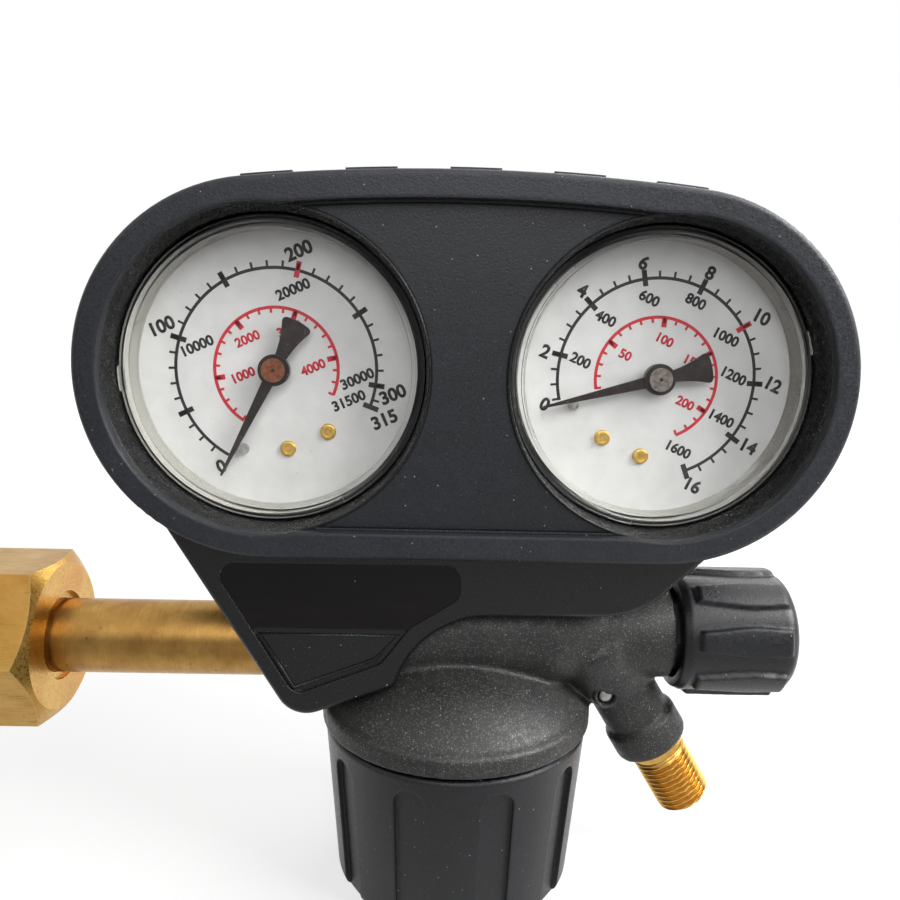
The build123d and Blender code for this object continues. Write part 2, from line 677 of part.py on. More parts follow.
def flute(angle):
    """Sunk grip groove, open at the foot and round at its top."""
    top = KNOB_TOP_Z - FLUTE_TOP_GAP - FLUTE_WIDTH / 2
    height = top - KNOB_BOTTOM_Z + KNOB_ROUND
    lean = radians(KNOB_TAPER)
    foot = KNOB_TOP_R - (KNOB_TOP_Z - top) * tan(lean)
    bar = Box(2 * FLUTE_DEPTH, FLUTE_WIDTH, height, align=(Align.CENTER, Align.CENTER, Align.MAX))
    cap = Rot(0, 90, 0) * Cylinder(FLUTE_WIDTH / 2, 2 * FLUTE_DEPTH)
    groove = Pos(foot, 0, top) * Rot(0, KNOB_TAPER, 0) * (bar + cap)
    return Rot(0, 0, angle) * groove


def make_adjusting_knob():
    """Tapered cup with sunk grip grooves all round."""
    fall = KNOB_TOP_Z - KNOB_BOTTOM_Z
    bottom_r = KNOB_TOP_R - fall * tan(radians(KNOB_TAPER))
    cup = Cone(bottom_r, KNOB_TOP_R, fall, align=(Align.CENTER, Align.CENTER, Align.MIN))
    cup = Pos(0, 0, KNOB_BOTTOM_Z) * cup
    rims = cup.edges().filter_by(GeomType.CIRCLE).sort_by(Axis.Z)
    cup = fillet(rims[0], KNOB_ROUND)
    cup = fillet(cup.edges().filter_by(GeomType.CIRCLE).sort_by(Axis.Z)[-1], CAST_ROUND)
    cup -= rod_z(KNOB_FLOOR_Z, KNOB_TOP_Z + GAP, KNOB_BORE_R)
    for number in range(FLUTES):
        cup -= flute(FLUTE_ANGLE + number * 360 / FLUTES)
    cup -= rod_z(KNOB_BOTTOM_Z - GAP, KNOB_SEAT_Z, KNOB_SCREW_HEAD_R + GAP)
    return cup - rod_z(KNOB_BOTTOM_Z - GAP, KNOB_FLOOR_Z + GAP, SCREW_TAIL_R + FIT)


def make_knob_screw():
    head = rod_z(KNOB_BOTTOM_Z, KNOB_SEAT_Z, KNOB_SCREW_HEAD_R)
    shank = rod_z(KNOB_SEAT_Z, KNOB_SEAT_Z + KNOB_SCREW_LENGTH - GAP, KNOB_SCREW_R)
    socket = extrude(RegularPolygon(KNOB_SCREW_R, 6), amount=KNOB_SCREW_SOCKET)
    return head + shank - Pos(0, 0, KNOB_BOTTOM_Z) * socket


# Shut-off valve


def make_valve_gland():
    """Hexagon gland that closes the valve bore and guides the spindle."""
    corner = GLAND_FLATS / 2 * HEX_TO_CORNER
    head = extrude(RegularPolygon(corner, 6), amount=GLAND_HEAD)
    head = Plane(origin=(ARM_END, 0, VALVE_Z), x_dir=(0, 1, 0), z_dir=(1, 0, 0)) * head
    gland = head + rod_x(ARM_END - VALVE_THREAD, ARM_END, VALVE_BORE_R, VALVE_Z)
    gland -= rod_x(ARM_END - VALVE_THREAD - GAP, ARM_END + GLAND_HEAD + GAP,
                   SPINDLE_R + FIT, VALVE_Z)
    groove_x = ARM_END
    ring = rod_x(groove_x - O_RING_WIRE_R - FIT, groove_x + O_RING_WIRE_R + FIT,
                 SPINDLE_R + 2 * O_RING_WIRE_R + 2 * FIT, VALVE_Z)
    return gland - ring


def make_gland_seal():
    return torus((ARM_END, 0, VALVE_Z), (1, 0, 0), SPINDLE_R + O_RING_WIRE_R + FIT,
                 O_RING_WIRE_R)


def make_valve_spindle():
    """Spindle that turns in the gland, with a collar behind it and a thread in front."""
    collar_x = ARM_END - VALVE_THREAD - GAP
    spindle = rod_x(collar_x, HANDLE_END - HANDLE_ROUND, SPINDLE_R, VALVE_Z)
    spindle += rod_x(collar_x - SPINDLE_COLLAR, collar_x, SPINDLE_COLLAR_R, VALVE_Z)
    tip_x = VALVE_CHAMBER_LEFT + PLUG_FACE + PLUG_TRAVEL + GAP
    spindle += rod_x(tip_x, collar_x, SPINDLE_THREAD_R, VALVE_Z)
    tap_x = HANDLE_END - HANDLE_ROUND
    return spindle - rod_x(tap_x - KNOB_SCREW_LENGTH, tap_x + GAP, HANDLE_SCREW_R + FIT, VALVE_Z)


def make_valve_plug():
    """Plug on the spindle's thread with a soft face towards the seat."""
    left = VALVE_CHAMBER_LEFT + GAP
    plug = rod_x(left, left + PLUG_LENGTH, PLUG_R, VALVE_Z)
    return plug - rod_x(left + PLUG_FACE - GAP, left + PLUG_LENGTH + GAP,
                        SPINDLE_THREAD_R + FIT, VALVE_Z)


def lug(angle):
    """One grip lug of the shut-off knob, wider towards the free end."""
    length = HANDLE_LENGTH - LUG_START - LUG_END
    outline = Polyline((0, -LUG_NARROW / 2), (length, -LUG_WIDE / 2), (length, LUG_WIDE / 2),
                       (0, LUG_NARROW / 2), close=True)
    bar = extrude(make_face(outline), amount=HANDLE_CROWN_R)
    crown = Rot(0, 90, 0) * Cylinder(HANDLE_CROWN_R, length,
                                     align=(Align.CENTER, Align.CENTER, Align.MIN))
    return Pos(HANDLE_X + LUG_START, 0, VALVE_Z) * Rot(angle, 0, 0) * (bar & crown)


def make_outlet_knob():
    """Shut-off knob with eight lugs and a rounded end."""
    outline = Curve() + [
        Line((HANDLE_X, 0), (HANDLE_X, HANDLE_LEFT_R)),
        Line((HANDLE_X, HANDLE_LEFT_R), (HANDLE_X + LUG_START, HANDLE_R)),
        Line((HANDLE_X + LUG_START, HANDLE_R), (HANDLE_END - HANDLE_ROUND, HANDLE_R)),
        ThreePointArc((HANDLE_END - HANDLE_ROUND, HANDLE_R),
                      (HANDLE_END - HANDLE_ROUND_MIDDLE, HANDLE_R - HANDLE_ROUND_MIDDLE),
                      (HANDLE_END, HANDLE_R - HANDLE_ROUND)),
        Line((HANDLE_END, HANDLE_R - HANDLE_ROUND), (HANDLE_END, 0)),
        Line((HANDLE_END, 0), (HANDLE_X, 0)),
    ]
    knob = Pos(0, 0, VALVE_Z) * revolve(Plane.XZ * make_face(outline), Axis.X, 360)
    for number in range(LUGS):
        knob += lug(LUG_ANGLE + number * 360 / LUGS)
    knob -= rod_x(HANDLE_X - GAP, HANDLE_X + HANDLE_BORE, HANDLE_BORE_R, VALVE_Z)
    knob -= rod_x(HANDLE_X, HANDLE_END - HANDLE_ROUND, SPINDLE_R + FIT, VALVE_Z)
    knob -= rod_x(HANDLE_END - HANDLE_ROUND, HANDLE_END + GAP, HANDLE_SCREW_HEAD_R + GAP, VALVE_Z)
    return knob


def make_outlet_knob_screw():
    seat = HANDLE_END - HANDLE_ROUND
    head = rod_x(seat, HANDLE_END - CAST_ROUND, HANDLE_SCREW_HEAD_R, VALVE_Z)
    shank = rod_x(seat - KNOB_SCREW_LENGTH + GAP, seat, HANDLE_SCREW_R, VALVE_Z)
    slot = Box(2 * HANDLE_SLOT_DEPTH, 2 * HANDLE_SCREW_HEAD_R, HANDLE_SLOT_WIDTH)
    return head + shank - Pos(HANDLE_END - CAST_ROUND, 0, VALVE_Z) * slot


# Gauges, drawn with the stem straight down and the centre at the origin


def disc_y(y_front, y_back, radius, x=0.0, z=0.0):
    return rod((x, y_front, z), (0, 1, 0), radius, y_back - y_front)


def polar(radius, angle):
    """X and Z of a point at angle degrees, counted anticlockwise from +X."""
    return radius * cos(radians(angle)), radius * sin(radians(angle))


def gauge_case():
    case = disc_y(CASE_FRONT, CASE_BACK, CASE_R)
    case -= disc_y(CASE_FRONT - GAP, CASE_BACK - CASE_WALL, CASE_R - CASE_WALL)
    edge = case.edges().filter_by(GeomType.CIRCLE).sort_by(Axis.Y)[-1]
    case = fillet(edge, CASE_ROUND)
    side = SOCKET_BLOCK + 2 * GAP
    hole = Box(side, side, CASE_WALL * 4)
    return case - Pos(0, 0, -CASE_R) * hole


def gauge_socket():
    """Brass block inside the case, its square shank and the threaded stem."""
    block = Box(SOCKET_BLOCK, SOCKET_BLOCK, CASE_R - SOCKET_INNER,
                align=(Align.CENTER, Align.CENTER, Align.MAX))
    shank = Box(SOCKET_SQUARE, SOCKET_SQUARE, SOCKET_FACE - CASE_R,
                align=(Align.CENTER, Align.CENTER, Align.MAX))
    socket = Pos(0, 0, -SOCKET_INNER) * block + Pos(0, 0, -CASE_R) * shank
    foot = SOCKET_FACE + SOCKET_THREAD
    socket += rod_z(-foot, -SOCKET_FACE, SOCKET_THREAD_R)
    return socket - rod_z(-foot - GAP, -TUBE_R, SOCKET_BORE_R)


def bourdon_tube():
    """Flattened tube bent in a circle from the socket block to the link."""
    flat = SlotOverall(TUBE_WIDTH, TUBE_DEPTH, rotation=90)
    lead = degrees(asin((SOCKET_BLOCK / 2 + FIT) / (TUBE_R - TUBE_DEPTH / 2)))
    start = Plane(origin=(0, 0, -TUBE_R), x_dir=(0, 0, -1), z_dir=(1, 0, 0)) * flat
    tube = revolve(start, Axis.Y, TUBE_ARC)
    return Rot(0, lead, 0) * tube


def gauge_movement():
    """Two brass plates on four pillars, with holes for the arbors."""
    height = SOCKET_INNER - FIT + MOVEMENT_HALF / 2
    plates = None
    for front in (MOVEMENT_FRONT, MOVEMENT_BACK - MOVEMENT_PLATE):
        plate = Box(2 * MOVEMENT_HALF, MOVEMENT_PLATE, height,
                    align=(Align.CENTER, Align.MIN, Align.MAX))
        plate = Pos(0, front, MOVEMENT_HALF / 2) * plate
        plates = plate if plates is None else plates + plate
    pillar = MOVEMENT_HALF - PILLAR_INSET
    top = MOVEMENT_HALF / 2
    for x in (-pillar, pillar):
        for z in (top - PILLAR_INSET, top - height + PILLAR_INSET):
            plates += disc_y(MOVEMENT_FRONT, MOVEMENT_BACK, PILLAR_R, x, z)
    for z in (0, -SECTOR_PIVOT):
        plates -= disc_y(MOVEMENT_FRONT - GAP, MOVEMENT_BACK + GAP, SPINDLE_PIN_R + FIT, 0, z)
    return plates


def gauge_sector():
    """Toothed sector's blank on its arbor, which drives the pointer's pinion."""
    middle = (MOVEMENT_FRONT + MOVEMENT_BACK) / 2
    reach = SECTOR_PIVOT - PINION_R - FIT
    half = radians(SECTOR_SPAN / 2)
    left = (-reach * sin(half), reach * cos(half))
    right = (reach * sin(half), reach * cos(half))
    outline = Curve() + [
        Line((0, -SECTOR_TAIL), left), ThreePointArc(left, (0, reach), right),
        Line(right, (0, -SECTOR_TAIL))]
    blade = slab(make_face(outline), middle - SECTOR_T / 2, middle + SECTOR_T / 2)
    arbor = disc_y(MOVEMENT_FRONT, MOVEMENT_BACK, SPINDLE_PIN_R)
    return Pos(0, 0, -SECTOR_PIVOT) * Rot(0, SECTOR_SWING / 2, 0) * (blade + arbor)


def gauge_dial():
    dial = disc_y(DIAL_FRONT, DIAL_FRONT + DIAL_T, DIAL_R)
    dial -= disc_y(DIAL_FRONT - GAP, 0, SPINDLE_PIN_R + 2 * GAP)
    x, z = stop_pin_place()
    return dial - disc_y(DIAL_FRONT - GAP, 0, STOP_PIN_R, x, z)


def dial_rivets():
    """Two dished brass rivets that hold the dial to the movement's bracket."""
    rivets = []
    front = DIAL_FRONT - DIAL_RIVET_HEAD
    for sign in (-1, 1):
        x, z = polar(DIAL_RIVET_RADIUS, -90 + sign * DIAL_RIVET_SPREAD)
        head = disc_y(front, DIAL_FRONT, DIAL_RIVET_R, x, z)
        head = fillet(head.edges().filter_by(GeomType.CIRCLE).sort_by(Axis.Y)[0], DIAL_RIVET_DISH)
        rivets.append(head - disc_y(front, front + DIAL_RIVET_DISH, DIAL_RIVET_DISH_R, x, z))
    return rivets


def dial_bracket():
    """Brass bracket from the socket block to the back of the dial."""
    width = 2 * DIAL_RIVET_RADIUS * sin(radians(DIAL_RIVET_SPREAD)) + 2 * DIAL_RIVET_R
    back = DIAL_FRONT + DIAL_T
    bar = Box(width, -SOCKET_BLOCK / 2 - back, 2 * DIAL_RIVET_R,
              align=(Align.CENTER, Align.MIN, Align.CENTER))
    z = -DIAL_RIVET_RADIUS * cos(radians(DIAL_RIVET_SPREAD))
    return Pos(0, back, z) * bar


def stop_pin_place():
    return polar(STOP_PIN_RADIUS, ZERO_ANGLE + STOP_PIN_LEAD)


def stop_pin():
    """Small taper pin that the pointer rests beside at zero."""
    x, z = stop_pin_place()
    reach = POINTER_LIFT + POINTER_T
    taper = Cone(STOP_PIN_FOOT_R, STOP_PIN_R, reach, align=(Align.CENTER, Align.CENTER, Align.MIN))
    taper = Plane(origin=(x, DIAL_FRONT, z), z_dir=(0, -1, 0)) * taper
    return taper + disc_y(DIAL_FRONT, DIAL_FRONT + DIAL_T, STOP_PIN_R, x, z)


def gauge_window():
    """Clear stepped window with a skirt inside the case and three bayonet tabs."""
    step = CASE_FRONT - WINDOW_FLANGE
    window = disc_y(step, CASE_FRONT, WINDOW_R) + disc_y(WINDOW_FACE, step, WINDOW_STEP_R)
    window += disc_y(CASE_FRONT, DIAL_FRONT - FIT, WINDOW_SKIRT_R)
    for number in range(WINDOW_TABS):
        angle = TAB_ANGLE + number * 360 / WINDOW_TABS
        tab = Box(TAB_WIDTH, step - WINDOW_FACE + TAB_SINK, 2 * WINDOW_STEP,
                  align=(Align.CENTER, Align.MAX, Align.CENTER))
        x, z = polar(WINDOW_STEP_R, angle)
        turn = Pos(x, step, z) * Rot(0, 90 - angle, 0)
        window += turn * tab & disc_y(WINDOW_FACE + TAB_SINK, CASE_FRONT, WINDOW_R)
    return window - disc_y(WINDOW_FACE + WINDOW_T, DIAL_FRONT, WINDOW_SKIRT_R - WINDOW_T)


def gauge_pointer():
    """Black pointer with a fan-shaped tail, lying at its zero."""
    half = POINTER_WIDTH / 2
    tip = POINTER_TIP_WIDTH / 2
    tail = POINTER_TAIL_WIDTH / 2
    hub = POINTER_NECK
    corner = -sqrt(POINTER_TAIL ** 2 - tail ** 2)
    bend = ((corner - hub) / 2, half + (tail - half) * POINTER_FLARE)
    outline = Curve() + [
        Line((POINTER_TIP, tip), (hub, half)),
        Line((hub, half), (-hub, half)),
        ThreePointArc((-hub, half), bend, (corner, tail)),
        ThreePointArc((corner, tail), (-POINTER_TAIL, 0), (corner, -tail)),
        ThreePointArc((corner, -tail), (bend[0], -bend[1]), (-hub, -half)),
        Line((-hub, -half), (hub, -half)),
        Line((hub, -half), (POINTER_TIP, -tip)),
        Line((POINTER_TIP, -tip), (POINTER_TIP, tip)),
    ]
    face = make_face(outline)
    face = fillet(face.vertices().sort_by(Axis.X)[:2], POINTER_TAIL_ROUND)
    back = DIAL_FRONT - POINTER_LIFT
    blade = slab(face, back - POINTER_T, back)
    boss = disc_y(back - POINTER_HUB_T, back + POINTER_HUB_T / 2, POINTER_HUB_R)
    pointer = blade + boss - disc_y(back - POINTER_HUB_T - GAP, back + POINTER_HUB_T,
                                    SPINDLE_PIN_R + FIT)
    return Rot(0, -ZERO_ANGLE, 0) * pointer


def pointer_spindle():
    """Metal cap on the pointer, the arbor behind it and its pinion."""
    back = DIAL_FRONT - POINTER_LIFT
    cap_back = back - POINTER_HUB_T
    cap = disc_y(cap_back - CAP_T, cap_back, CAP_R)
    arbor = disc_y(cap_back, MOVEMENT_BACK, SPINDLE_PIN_R)
    middle = (MOVEMENT_FRONT + MOVEMENT_BACK) / 2
    return cap + arbor + disc_y(middle - SECTOR_T, middle + SECTOR_T, PINION_R)


# Cover


def cover_face(inset):
    """Outline of the cover, drawn inset inwards: two round ends, a flat foot and a crowned top."""
    end_r = COVER_END_R - inset
    rise = (GAUGE_X ** 2 - COVER_CROWN ** 2) / (2 * COVER_CROWN)
    top_r = COVER_END_R + COVER_CROWN + rise - inset
    lean = atan2(GAUGE_X, rise)
    top = (top_r * sin(lean), GAUGE_Z - rise + top_r * cos(lean))
    foot = GAUGE_Z - end_r
    middle = lean / 2 - radians(END_MIDDLE)
    reach = (GAUGE_X + end_r * cos(middle), GAUGE_Z + end_r * sin(middle))
    outline = Curve() + [
        Line((-GAUGE_X, foot), (GAUGE_X, foot)),
        ThreePointArc((GAUGE_X, foot), reach, top),
        ThreePointArc(top, (0, GAUGE_Z - rise + top_r), (-top[0], top[1])),
        ThreePointArc((-top[0], top[1]), (-reach[0], reach[1]), (-GAUGE_X, foot)),
    ]
    return make_face(outline)


def pad_blocks():
    """Blocks that pick the grip pads out of a band round the bumper."""
    blocks = []
    depth = 4 * BUMPER_T
    for number in range(-2, 3):
        x = PAD_SHIFT + number * PAD_PITCH
        for z in (GAUGE_Z - COVER_END_R, GAUGE_Z + COVER_END_R + COVER_CROWN / 2):
            blocks.append(Pos(x, 0, z) * Box(PAD_LENGTH, -2 * PAD_FRONT, depth))
    for sign in (-1, 1):
        for angle in PAD_ANGLES:
            turn = angle if sign < 0 else 180 - angle
            x, z = polar(COVER_END_R, turn)
            block = Box(depth, -2 * PAD_FRONT, PAD_LENGTH)
            blocks.append(Pos(x + sign * GAUGE_X, 0, z) * Rot(0, -turn, 0) * block)
    return blocks


def make_bumper():
    """Rubber bumper that grips the housing's edge, with raised pads all round."""
    ring = slab(cover_face(0), COVER_FRONT, BUMPER_BACK)
    ring = fillet(ring.edges().group_by(Axis.Y)[0], BUMPER_ROUND)
    ring -= slab(cover_face(RIM_WIDTH), COVER_FRONT - GAP, HOUSING_FRONT)
    ring -= slab(cover_face(BUMPER_T), HOUSING_FRONT, BUMPER_BACK + GAP)
    for x in (-GAUGE_X, GAUGE_X):
        ring -= disc_y(COVER_FRONT - GAP, HOUSING_FRONT, RECESS_MOUTH_R, x, GAUGE_Z)
    band = slab(cover_face(-PAD_HEIGHT), PAD_FRONT, PAD_BACK) - slab(
        cover_face(BUMPER_T / 2), PAD_FRONT - GAP, PAD_BACK + GAP)
    for block in pad_blocks():
        ring += band & block
    ring -= slab(offset(shield_outline(), FIT), SHIELD_FRONT - FIT, BUMPER_BACK + GAP)
    return ring - stem_slots()


def funnel(side, wall, front_extra):
    """Conical mouth in front of a gauge, drawn wall thicker than the recess."""
    sign = -1 if side == "left" else 1
    slope = (RECESS_MOUTH_R - RECESS_FLOOR_R) / (RECESS_FLOOR - HOUSING_FRONT)
    mouth = RECESS_MOUTH_R + wall + slope * front_extra
    profile = [
        (0, 0), (RECESS_FLOOR_R + wall, 0),
        (RECESS_FLOOR_R + wall, FUNNEL_BACK - RECESS_FLOOR),
        (mouth, FUNNEL_BACK - HOUSING_FRONT + front_extra),
        (0, FUNNEL_BACK - HOUSING_FRONT + front_extra),
    ]
    return turned(profile, (sign * GAUGE_X, FUNNEL_BACK, GAUGE_Z), (0, -1, 0))


def shield_outline():
    """Apron below the gauges: a lobe over the body and a foot over the stem."""
    outline = Curve() + [
        Line((APRON_LEFT, APRON_TOP), APRON_TOE), Line(APRON_TOE, APRON_HEEL),
        ThreePointArc(APRON_HEEL, APRON_INSTEP, APRON_WAIST), Line(APRON_WAIST, APRON_FLAT),
        ThreePointArc(APRON_FLAT, APRON_BEND, APRON_SHOULDER),
        Line(APRON_SHOULDER, (APRON_RIGHT, APRON_TOP)),
        Line((APRON_RIGHT, APRON_TOP), (APRON_LEFT, APRON_TOP)),
    ]
    face = make_face(outline)
    face = fillet(face.vertices().sort_by(Axis.Y)[0], APRON_TOE_ROUND)
    heel = face.vertices().sort_by_distance((*APRON_HEEL, 0))[0]
    return fillet(heel, APRON_HEEL_ROUND)


def label_outline(inset):
    """Recess in the apron for the label plate and the plain panel below it."""
    top = COVER_FOOT_Z - LABEL_DROP
    corners = [(LABEL_LEFT, top - 2 * FIT), (LABEL_RIGHT, top), (LABEL_RIGHT, top - LABEL_SIDE),
               LABEL_STEP, LABEL_HEEL, LABEL_TOE]
    face = make_face(Polyline(*corners, close=True))
    face = fillet(face.vertices(), LABEL_ROUND)
    return offset(face, -inset) if inset else face


def cover_screw_places():
    places = []
    for x in (-COVER_SCREW_X, COVER_SCREW_X):
        for z in (GAUGE_Z - COVER_SCREW_RISE, GAUGE_Z + COVER_SCREW_RISE):
            places.append((x, z))
    return places


def make_gauge_housing():
    """Front moulding: shell, two gauge mouths, panel pocket, apron and screw bosses."""
    outer = slab(cover_face(BUMPER_T + FIT), HOUSING_FRONT, COVER_SPLIT - FIT)
    hollow = slab(cover_face(COVER_INNER), HOUSING_FRONT + COVER_WALL + PANEL_T, COVER_SPLIT + GAP)
    shell = outer - hollow
    shell += slab(cover_face(0), BUMPER_BACK + FIT, COVER_SPLIT - FIT) - slab(
        cover_face(COVER_INNER), BUMPER_BACK - GAP, COVER_SPLIT + GAP)
    for side in GAUGE_TURN:
        shell += funnel(side, FUNNEL_WALL, 0) & outer
    for x, z in cover_screw_places():
        boss = disc_y(HOUSING_FRONT + COVER_WALL, COVER_SPLIT - FIT, COVER_BOSS_R, x, z)
        shell += boss
    for side in GAUGE_TURN:
        shell -= funnel(side, 0, GAP)
    apron = slab(shield_outline(), SHIELD_FRONT, SHIELD_BACK)
    apron = fillet(apron.edges().group_by(Axis.Y)[0], SHIELD_ROUND)
    shell += apron - slab(cover_face(COVER_INNER - FIT), SHIELD_FRONT - GAP, SHIELD_BACK + GAP)
    root = (shield_outline() & cover_face(0)) - cover_face(COVER_INNER - FIT)
    shell += slab(root, SHIELD_FRONT + SHIELD_ROUND, COVER_SPLIT - FIT)
    shell -= slab(panel_face(0), HOUSING_FRONT - GAP, HOUSING_FRONT + PANEL_SINK + PANEL_T)
    shell -= slab(label_outline(0), SHIELD_FRONT - GAP, SHIELD_FRONT + LABEL_RECESS)
    for x, z in cover_screw_places():
        shell -= disc_y(COVER_SPLIT - COVER_SCREW_LENGTH, COVER_SPLIT + GAP,
                        COVER_SCREW_R + FIT, x, z)
    return shell - stem_slots()


def panel_face(inset):
    """Textured panel between the gauges, inside the rim and clear of both mouths."""
    face = cover_face(RIM_WIDTH + PANEL_LIP + inset)
    for x in (-GAUGE_X, GAUGE_X):
        face -= Pos(x, GAUGE_Z) * Circle(RECESS_MOUTH_R + PANEL_LIP + inset)
    return face


def make_centre_panel():
    front = HOUSING_FRONT + PANEL_SINK
    return slab(panel_face(FIT), front, front + PANEL_T)


def make_label_plate():
    """Bare gloss plate in the upper part of the apron's recess."""
    upper = Pos(0, LABEL_SPLIT_Z + GAUGE_Z / 2) * Rectangle(4 * GAUGE_X, GAUGE_Z)
    face = label_outline(FIT) & upper
    back = SHIELD_FRONT + LABEL_RECESS
    return slab(face, back - LABEL_T, back)


def stem_slots():
    """Round slots in the cover's foot for the two gauge stems and their bosses."""
    cut = None
    for side in GAUGE_TURN:
        start = gauge_centre(side) + gauge_down(side) * CASE_R
        slot = rod(start, gauge_down(side), STEM_SLOT_R, SOCKET_FACE)
        cut = slot if cut is None else cut + slot
    return cut


def make_rear_cover():
    """Back moulding with rounded edges, stem slots and ribs that hold the gauges."""
    outer = slab(cover_face(0), COVER_SPLIT + FIT, COVER_BACK)
    outer = fillet(outer.edges().group_by(Axis.Y)[-1], REAR_ROUND)
    inner_back = COVER_BACK - COVER_WALL
    hollow = slab(cover_face(COVER_INNER), COVER_SPLIT - GAP, inner_back)
    cover = outer - hollow
    for x in (-GAUGE_X, GAUGE_X):
        rib = disc_y(CASE_BACK, inner_back, REAR_RIB_R, x, GAUGE_Z)
        cover += rib - disc_y(CASE_BACK - GAP, inner_back, REAR_RIB_R - REAR_RIB_T, x, GAUGE_Z)
    for x, z in cover_screw_places():
        cover += disc_y(COVER_SPLIT + FIT, inner_back, COVER_BOSS_R, x, z)
    for x, z in cover_screw_places():
        cover -= disc_y(COVER_SPLIT - GAP, COVER_BACK, COVER_SCREW_R + FIT, x, z)
        cover -= disc_y(COVER_BACK - COVER_SCREW_HEAD, COVER_BACK + GAP,
                        COVER_SCREW_HEAD_R + FIT, x, z)
    return cover - stem_slots()


def make_cover_screws():
    screws = []
    for x, z in cover_screw_places():
        seat = COVER_BACK - COVER_SCREW_HEAD
        head = disc_y(seat, COVER_BACK - FIT, COVER_SCREW_HEAD_R, x, z)
        shank = disc_y(COVER_SPLIT - COVER_SCREW_LENGTH + GAP, seat, COVER_SCREW_R, x, z)
        slot = Box(CROSS_WIDTH, 2 * CROSS_DEPTH, CROSS_LENGTH)
        cross = slot + Rot(0, 90, 0) * slot
        screws.append(head + shank - Pos(x, COVER_BACK, z) * cross)
    return screws


def gauge_parts(side):
    """All pieces of one gauge, placed in the cover."""
    pieces = {
        "gauge_case": gauge_case(),
        "gauge_socket": gauge_socket(),
        "bourdon_tube": bourdon_tube(),
        "movement": gauge_movement() + dial_bracket(),
        "sector": gauge_sector(),
        "dial": gauge_dial(),
        "dial_rivets": Compound(children=dial_rivets()),
        "stop_pin": stop_pin(),
        "window": gauge_window(),
        "pointer": gauge_pointer(),
        "pointer_spindle": pointer_spindle(),
    }
    return {f"{side}_{name}": about_gauge(side, piece) for name, piece in pieces.items()}


def all_parts():
    parts = {
        "body_casting": make_body_casting(),
        "port_plug": make_port_plug(),
        "outlet_nipple": make_outlet_nipple(),
        "inlet_stem": make_inlet_stem(),
        "inlet_seal": make_inlet_seal(),
        "inlet_filter": make_inlet_filter(),
        "inlet_nut": make_inlet_nut(),
        "thrust_washer": make_thrust_washer(),
        "diaphragm": make_diaphragm(),
        "diaphragm_plate": make_diaphragm_plate(),
        "seat_cartridge": make_seat_cartridge(),
        "poppet": make_poppet(),
        "poppet_spring": make_poppet_spring(),
        "bonnet": make_bonnet(),
        "main_spring": make_main_spring(),
        "spring_button": make_spring_button(),
        "adjusting_screw": make_adjusting_screw(),
        "adjusting_knob": make_adjusting_knob(),
        "knob_screw": make_knob_screw(),
        "valve_gland": make_valve_gland(),
        "gland_seal": make_gland_seal(),
        "valve_spindle": make_valve_spindle(),
        "valve_plug": make_valve_plug(),
        "outlet_knob": make_outlet_knob(),
        "outlet_knob_screw": make_outlet_knob_screw(),
        "bumper": make_bumper(),
        "gauge_housing": make_gauge_housing(),
        "centre_panel": make_centre_panel(),
        "label_plate": make_label_plate(),
        "rear_cover": make_rear_cover(),
        "cover_screws": Compound(children=make_cover_screws()),
    }
    for side in GAUGE_TURN:
        parts.update(gauge_parts(side))
    return parts


def write_parts():
    os.makedirs("parts", exist_ok=True)
    for name, shape in all_parts().items():
        export_step(Pos(-INLET_X, 0, 0) * shape, f"parts/{name}.step")


write_parts()
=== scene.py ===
import json
from math import ceil, cos, pi, radians, sin

import bmesh
import bpy
from mathutils import Matrix, Vector


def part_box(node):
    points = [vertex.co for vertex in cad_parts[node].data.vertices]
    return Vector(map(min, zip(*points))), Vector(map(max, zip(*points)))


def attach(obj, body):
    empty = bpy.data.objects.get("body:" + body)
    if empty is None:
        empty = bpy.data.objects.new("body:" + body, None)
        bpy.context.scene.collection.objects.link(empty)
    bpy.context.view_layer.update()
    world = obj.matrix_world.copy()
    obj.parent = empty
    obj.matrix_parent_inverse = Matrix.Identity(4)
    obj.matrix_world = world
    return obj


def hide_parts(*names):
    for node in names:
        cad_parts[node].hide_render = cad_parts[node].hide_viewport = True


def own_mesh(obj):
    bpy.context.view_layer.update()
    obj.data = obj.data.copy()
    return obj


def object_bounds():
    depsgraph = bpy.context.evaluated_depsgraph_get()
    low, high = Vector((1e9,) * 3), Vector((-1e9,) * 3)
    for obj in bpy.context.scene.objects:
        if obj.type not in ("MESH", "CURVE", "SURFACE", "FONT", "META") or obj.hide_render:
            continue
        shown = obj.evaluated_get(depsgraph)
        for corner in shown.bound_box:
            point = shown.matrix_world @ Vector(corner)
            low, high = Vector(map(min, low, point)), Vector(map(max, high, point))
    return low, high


# Looks of an oxygen regulator round its CAD frame. Metres, X from the inlet to the
# shut-off knob, Y to the back, Z up. MM turns millimetres into metres.

MM = 0.001
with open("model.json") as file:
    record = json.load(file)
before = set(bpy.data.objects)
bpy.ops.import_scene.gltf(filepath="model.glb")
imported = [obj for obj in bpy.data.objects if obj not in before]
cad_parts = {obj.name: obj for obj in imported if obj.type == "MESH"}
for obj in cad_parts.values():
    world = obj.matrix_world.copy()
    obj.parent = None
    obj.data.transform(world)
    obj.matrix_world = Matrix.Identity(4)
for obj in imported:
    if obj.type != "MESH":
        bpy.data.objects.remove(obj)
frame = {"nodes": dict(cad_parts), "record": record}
NODES = frame["nodes"]
RECORD = frame["record"]
CAD_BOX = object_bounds()

# Camera, as fitted to the dials, the housing and the inlet stem, with its angles in degrees
CAMERA_AT = (0.1194185, -0.1795726, 0.072934)
CAMERA_HEADING = 1.337
CAMERA_PITCH = -8.386
CAMERA_ROLL = 1.463
CAMERA_LENS = 31.245
CAMERA_SENSOR = 36.0
CAMERA_NEAR = 0.01

